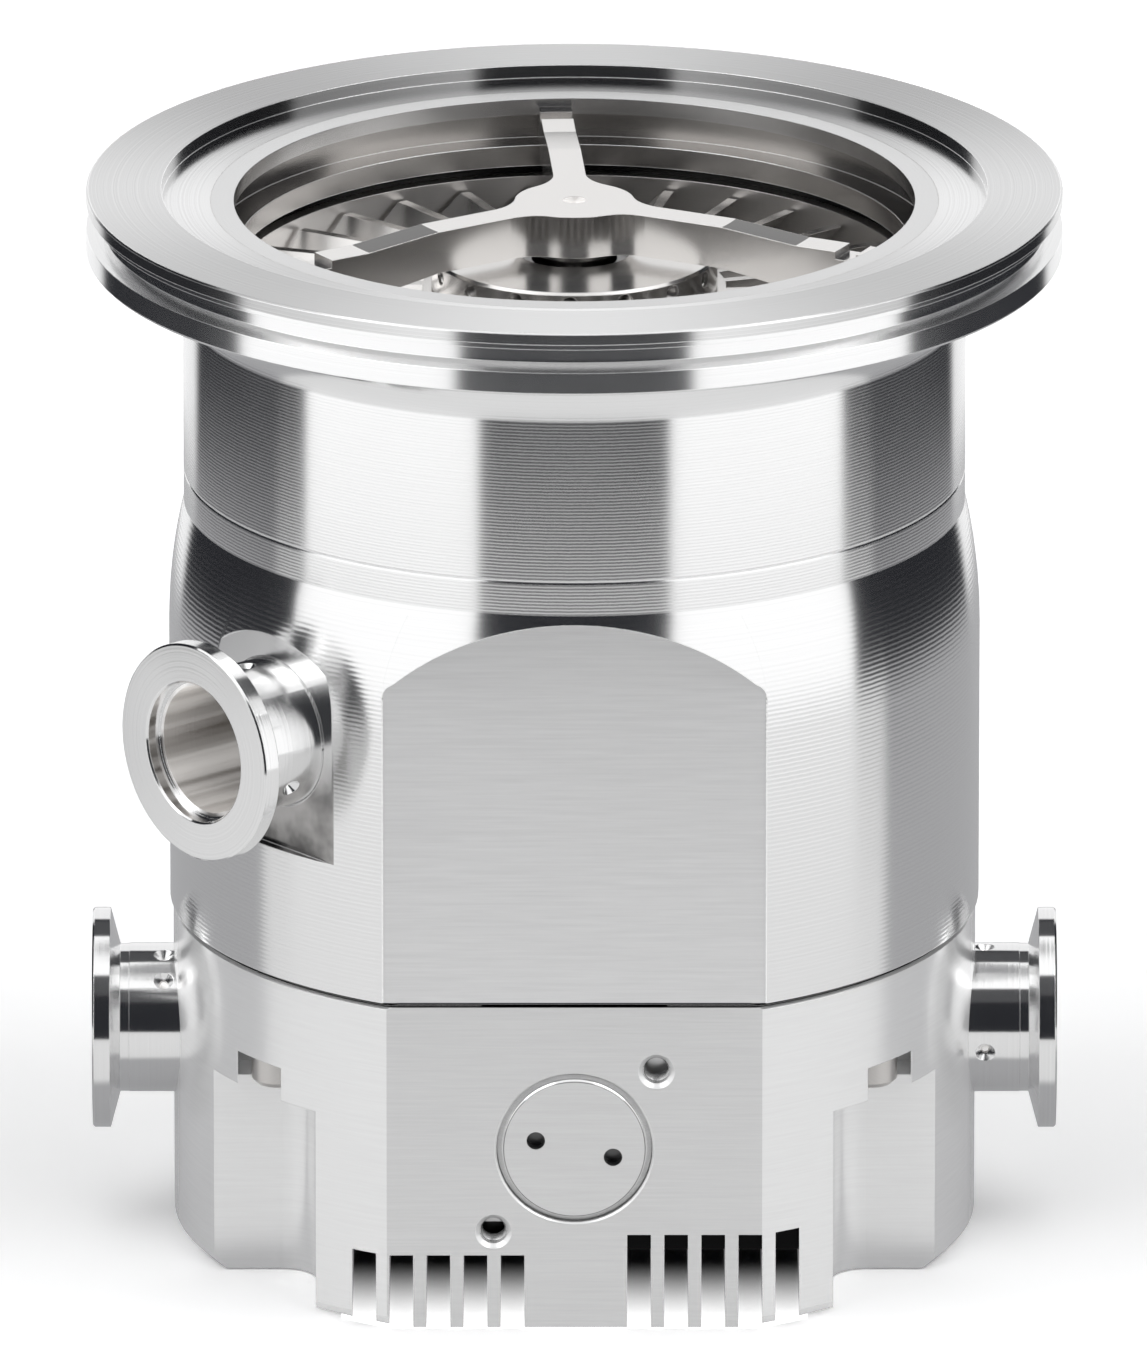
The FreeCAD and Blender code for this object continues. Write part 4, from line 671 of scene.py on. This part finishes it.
def make_metal(name, level, roughness, warmth=0.0, metallic=1.0, anisotropic=0.0, axis=(0, 0, 1),
               centre=(0, 0, 0), pitch=0.3 * MM, depth=0.0, streaks=0.02, bore=0.0, ramps=False):
    """A metal with turning marks, clouds and bright edges; its bore and its ramps look different."""
    material, graph, shader = start_material(name, metallic, anisotropic, axis, centre)
    edges = place_group(graph, EDGE_WEAR, Width=0.2 * MM)
    marks = place_group(graph, TURNING_MARKS, Centre=centre, Axis=axis, Pitch=pitch, Depth=depth,
                        Streaks=streaks, Normal=edges["Normal"])
    wear = place_group(graph, SURFACE_WEAR)
    clouds = graph.math("SUBTRACT", wear["Clouds"], 0.5)
    rough = graph.math("ADD", roughness, graph.math("MULTIPLY", clouds, 0.05))
    place = graph.vector("SUBTRACT", graph.node("ShaderNodeTexCoord").outputs["Object"], centre)
    if bore:
        away = graph.vector("LENGTH", graph.vector("CROSS_PRODUCT", axis, place))
        inside = graph.math("LESS_THAN", away, bore)
        rough = graph.blend(inside, rough, BORE_ROUGHNESS)
        along = graph.vector("SCALE", axis, graph.vector("DOT_PRODUCT", place, axis))
        around = graph.vector("NORMALIZE", graph.vector("SUBTRACT", place, along))
        streaky = graph.step(graph.noise(around, 2.6, 3.0), 0.35, 0.65)
        bounced = graph.tint(streaky, grey(0.03, 0.2), grey(0.34, 0.04))
        glow = graph.tint(inside, grey(0.0), bounced)
        connect(graph, shader, Emission_Color=glow, Emission_Strength=1.0)
    colour = graph.tint(marks["Streak"], grey(level * 0.94, warmth), grey(level * 1.04, warmth))
    if ramps:
        x, y, z = graph.split(place)
        reach = graph.vector("LENGTH", graph.vector("MULTIPLY", place, (1, 1, 0)))
        upward = graph.split(graph.node("ShaderNodeNewGeometry").outputs["Normal"])[2]
        ramp = graph.math("MULTIPLY", graph.band(reach, RAMP_START, RAMP_END, NEAR),
                          graph.math("MULTIPLY", graph.math("GREATER_THAN", upward, LEVEL_ENOUGH),
                                     graph.math("LESS_THAN", y, 0.0)))
        colour = graph.tint(ramp, colour, grey(0.13, warmth))
    colour = graph.tint(edges["Edge"], colour, grey(min(level * 1.2, 0.97), warmth))
    connect(graph, shader, Base_Color=colour, Roughness=rough, Normal=marks["Normal"])
    return material


PORT_LEVEL = 38 * MM
INTERSTAGE_LEVEL = 109.8 * MM
NOZZLE_BORE = 12.6 * MM
CENTRE_MARK = 2.1 * MM
NOZZLES = {
    "nozzle_left": ((1, 0, 0), (0, 0, PORT_LEVEL)),
    "nozzle_right": ((1, 0, 0), (0, 0, PORT_LEVEL)),
    "nozzle_interstage": (PAD_OUTWARD, (0, 0, INTERSTAGE_LEVEL)),
}
for node, (axis, centre) in NOZZLES.items():
    dress(make_metal(node + "_steel", 0.86, 0.13, anisotropic=0.7, axis=axis, centre=centre, streaks=0.06,
                     bore=NOZZLE_BORE), node)

METALS = {
    "machined_aluminium": make_metal("machined_aluminium", 0.72, 0.24, anisotropic=0.5),
    "plug_aluminium": make_metal("cover_aluminium", 0.86, 0.24, metallic=0.5),
    "rotor_aluminium": make_metal("rotor_aluminium", 0.74, 0.24, 0.02, anisotropic=0.6, streaks=0.04),
    "blade_aluminium": make_metal("blade_aluminium", 0.70, 0.34, 0.02),
    "holder_steel": make_metal("holder_steel", 0.80, 0.19, 0.02, bore=CENTRE_MARK, ramps=True),
    "screw_steel": make_metal("screw_steel", 0.60, 0.32, 0.03, anisotropic=0.3, streaks=0.08),
    "bearing_steel": make_metal("bearing_steel", 0.74, 0.10, streaks=0.04),
    "core_steel": make_metal("core_steel", 0.34, 0.45, pitch=0.5 * MM, depth=0.3),
    "plated_steel": make_metal("plated_steel", 0.70, 0.22, 0.02),
    "magnet": make_metal("magnet", 0.36, 0.32),
    "copper": make_metal("copper", 0.62, 0.24, 0.32, pitch=0.8 * MM, depth=0.45),
    "black_rubber": make_metal("black_rubber", 0.035, 0.55, metallic=0.0),
    "felt": make_metal("felt", 0.72, 0.95, 0.03, metallic=0.0, depth=0.3),
    "contact_plastic": make_metal("contact_plastic", 0.06, 0.45, metallic=0.0),
}
for node, slot in SLOT_OF.items():
    if slot in METALS and node not in ("envelope", "base", "vent_plug"):
        dress(METALS[slot], node)
print("metals:", len(METALS) + len(NOZZLES))

# %% [markdown]
# ## Threads
#
# The two tapped holes in the front and the sixteen balance holes in the rotor's collar show the turns
# of their threads. A texture would stay flat where the light grazes the turns, so each thread is a
# ridge of triangular section that winds down the wall of its hole, built point by point.

# %% Thread ridges
THREAD_SIDES = 24


def wind_ridge(shape, mouth, inward, radius, pitch, depth, height):
    """Add one helical ridge inside a hole, from its mouth inward."""
    across = inward.orthogonal().normalized()
    other = inward.cross(across)
    count = int(depth / pitch * THREAD_SIDES)
    rows = []
    for index in range(count + 1):
        turn = 2 * math.pi * index / THREAD_SIDES
        outward = across * math.cos(turn) + other * math.sin(turn)
        middle = mouth + inward * (pitch * (index / THREAD_SIDES + 0.5))
        rise = min(1.0, index / THREAD_SIDES, (count - index) / THREAD_SIDES)
        row = [middle - inward * pitch * 0.46 + outward * radius,
               middle + outward * (radius - height * rise),
               middle + inward * pitch * 0.46 + outward * radius]
        rows.append([shape.verts.new(point) for point in row])
    for first, second in zip(rows, rows[1:]):
        for side in range(3):
            after = (side + 1) % 3
            shape.faces.new((first[side], second[side], second[after], first[after]))
    for row in (rows[0], list(reversed(rows[-1]))):
        shape.faces.new(row)


def make_threads(name, holes, body, slot, material, **sizes):
    """One piece with a ridge in each of some holes; it rides on their body."""
    shape = bmesh.new()
    for mouth, inward in holes:
        wind_ridge(shape, Vector(mouth), Vector(inward), **sizes)
    bmesh.ops.recalc_face_normals(shape, faces=shape.faces)
    mesh = bpy.data.meshes.new(name)
    shape.to_mesh(mesh)
    shape.free()
    piece = bpy.data.objects.new(name, mesh)
    bpy.context.scene.collection.objects.link(piece)
    mesh.materials.append(material)
    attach(piece, body)
    print(name, len(mesh.vertices), "vertices")
    return piece


TAPPED_SINK = 0.85 * MM
INWARD = (0, 1, 0)
for name, x, z in (("upper_thread", 15.1, 49.7), ("lower_thread", -14.9, 18.6)):
    make_threads(name, [((x * MM, -FLAT_DISTANCE + TAPPED_SINK, z * MM), INWARD)], "housing",
                 "machined_aluminium", METALS["machined_aluminium"],
                 radius=2.49 * MM, pitch=0.8 * MM, depth=4.8 * MM, height=0.42 * MM)

BALANCE_RADIUS = 26.4 * MM
BALANCE_LEVEL = 185.0 * MM
BALANCE_COUNT = 16
BALANCE_START = math.radians(1.8)
balance_holes = []
for number in range(BALANCE_COUNT):
    turn = BALANCE_START + 2 * math.pi * number / BALANCE_COUNT
    outward = Vector((-math.sin(turn), -math.cos(turn), 0))
    mouth = outward * (BALANCE_RADIUS - 0.2 * MM) + Vector((0, 0, BALANCE_LEVEL))
    balance_holes.append((mouth, -outward))
make_threads("balance_threads", balance_holes, "rotor", "rotor_aluminium", METALS["rotor_aluminium"],
             radius=1.49 * MM, pitch=0.5 * MM, depth=4.5 * MM, height=0.25 * MM)
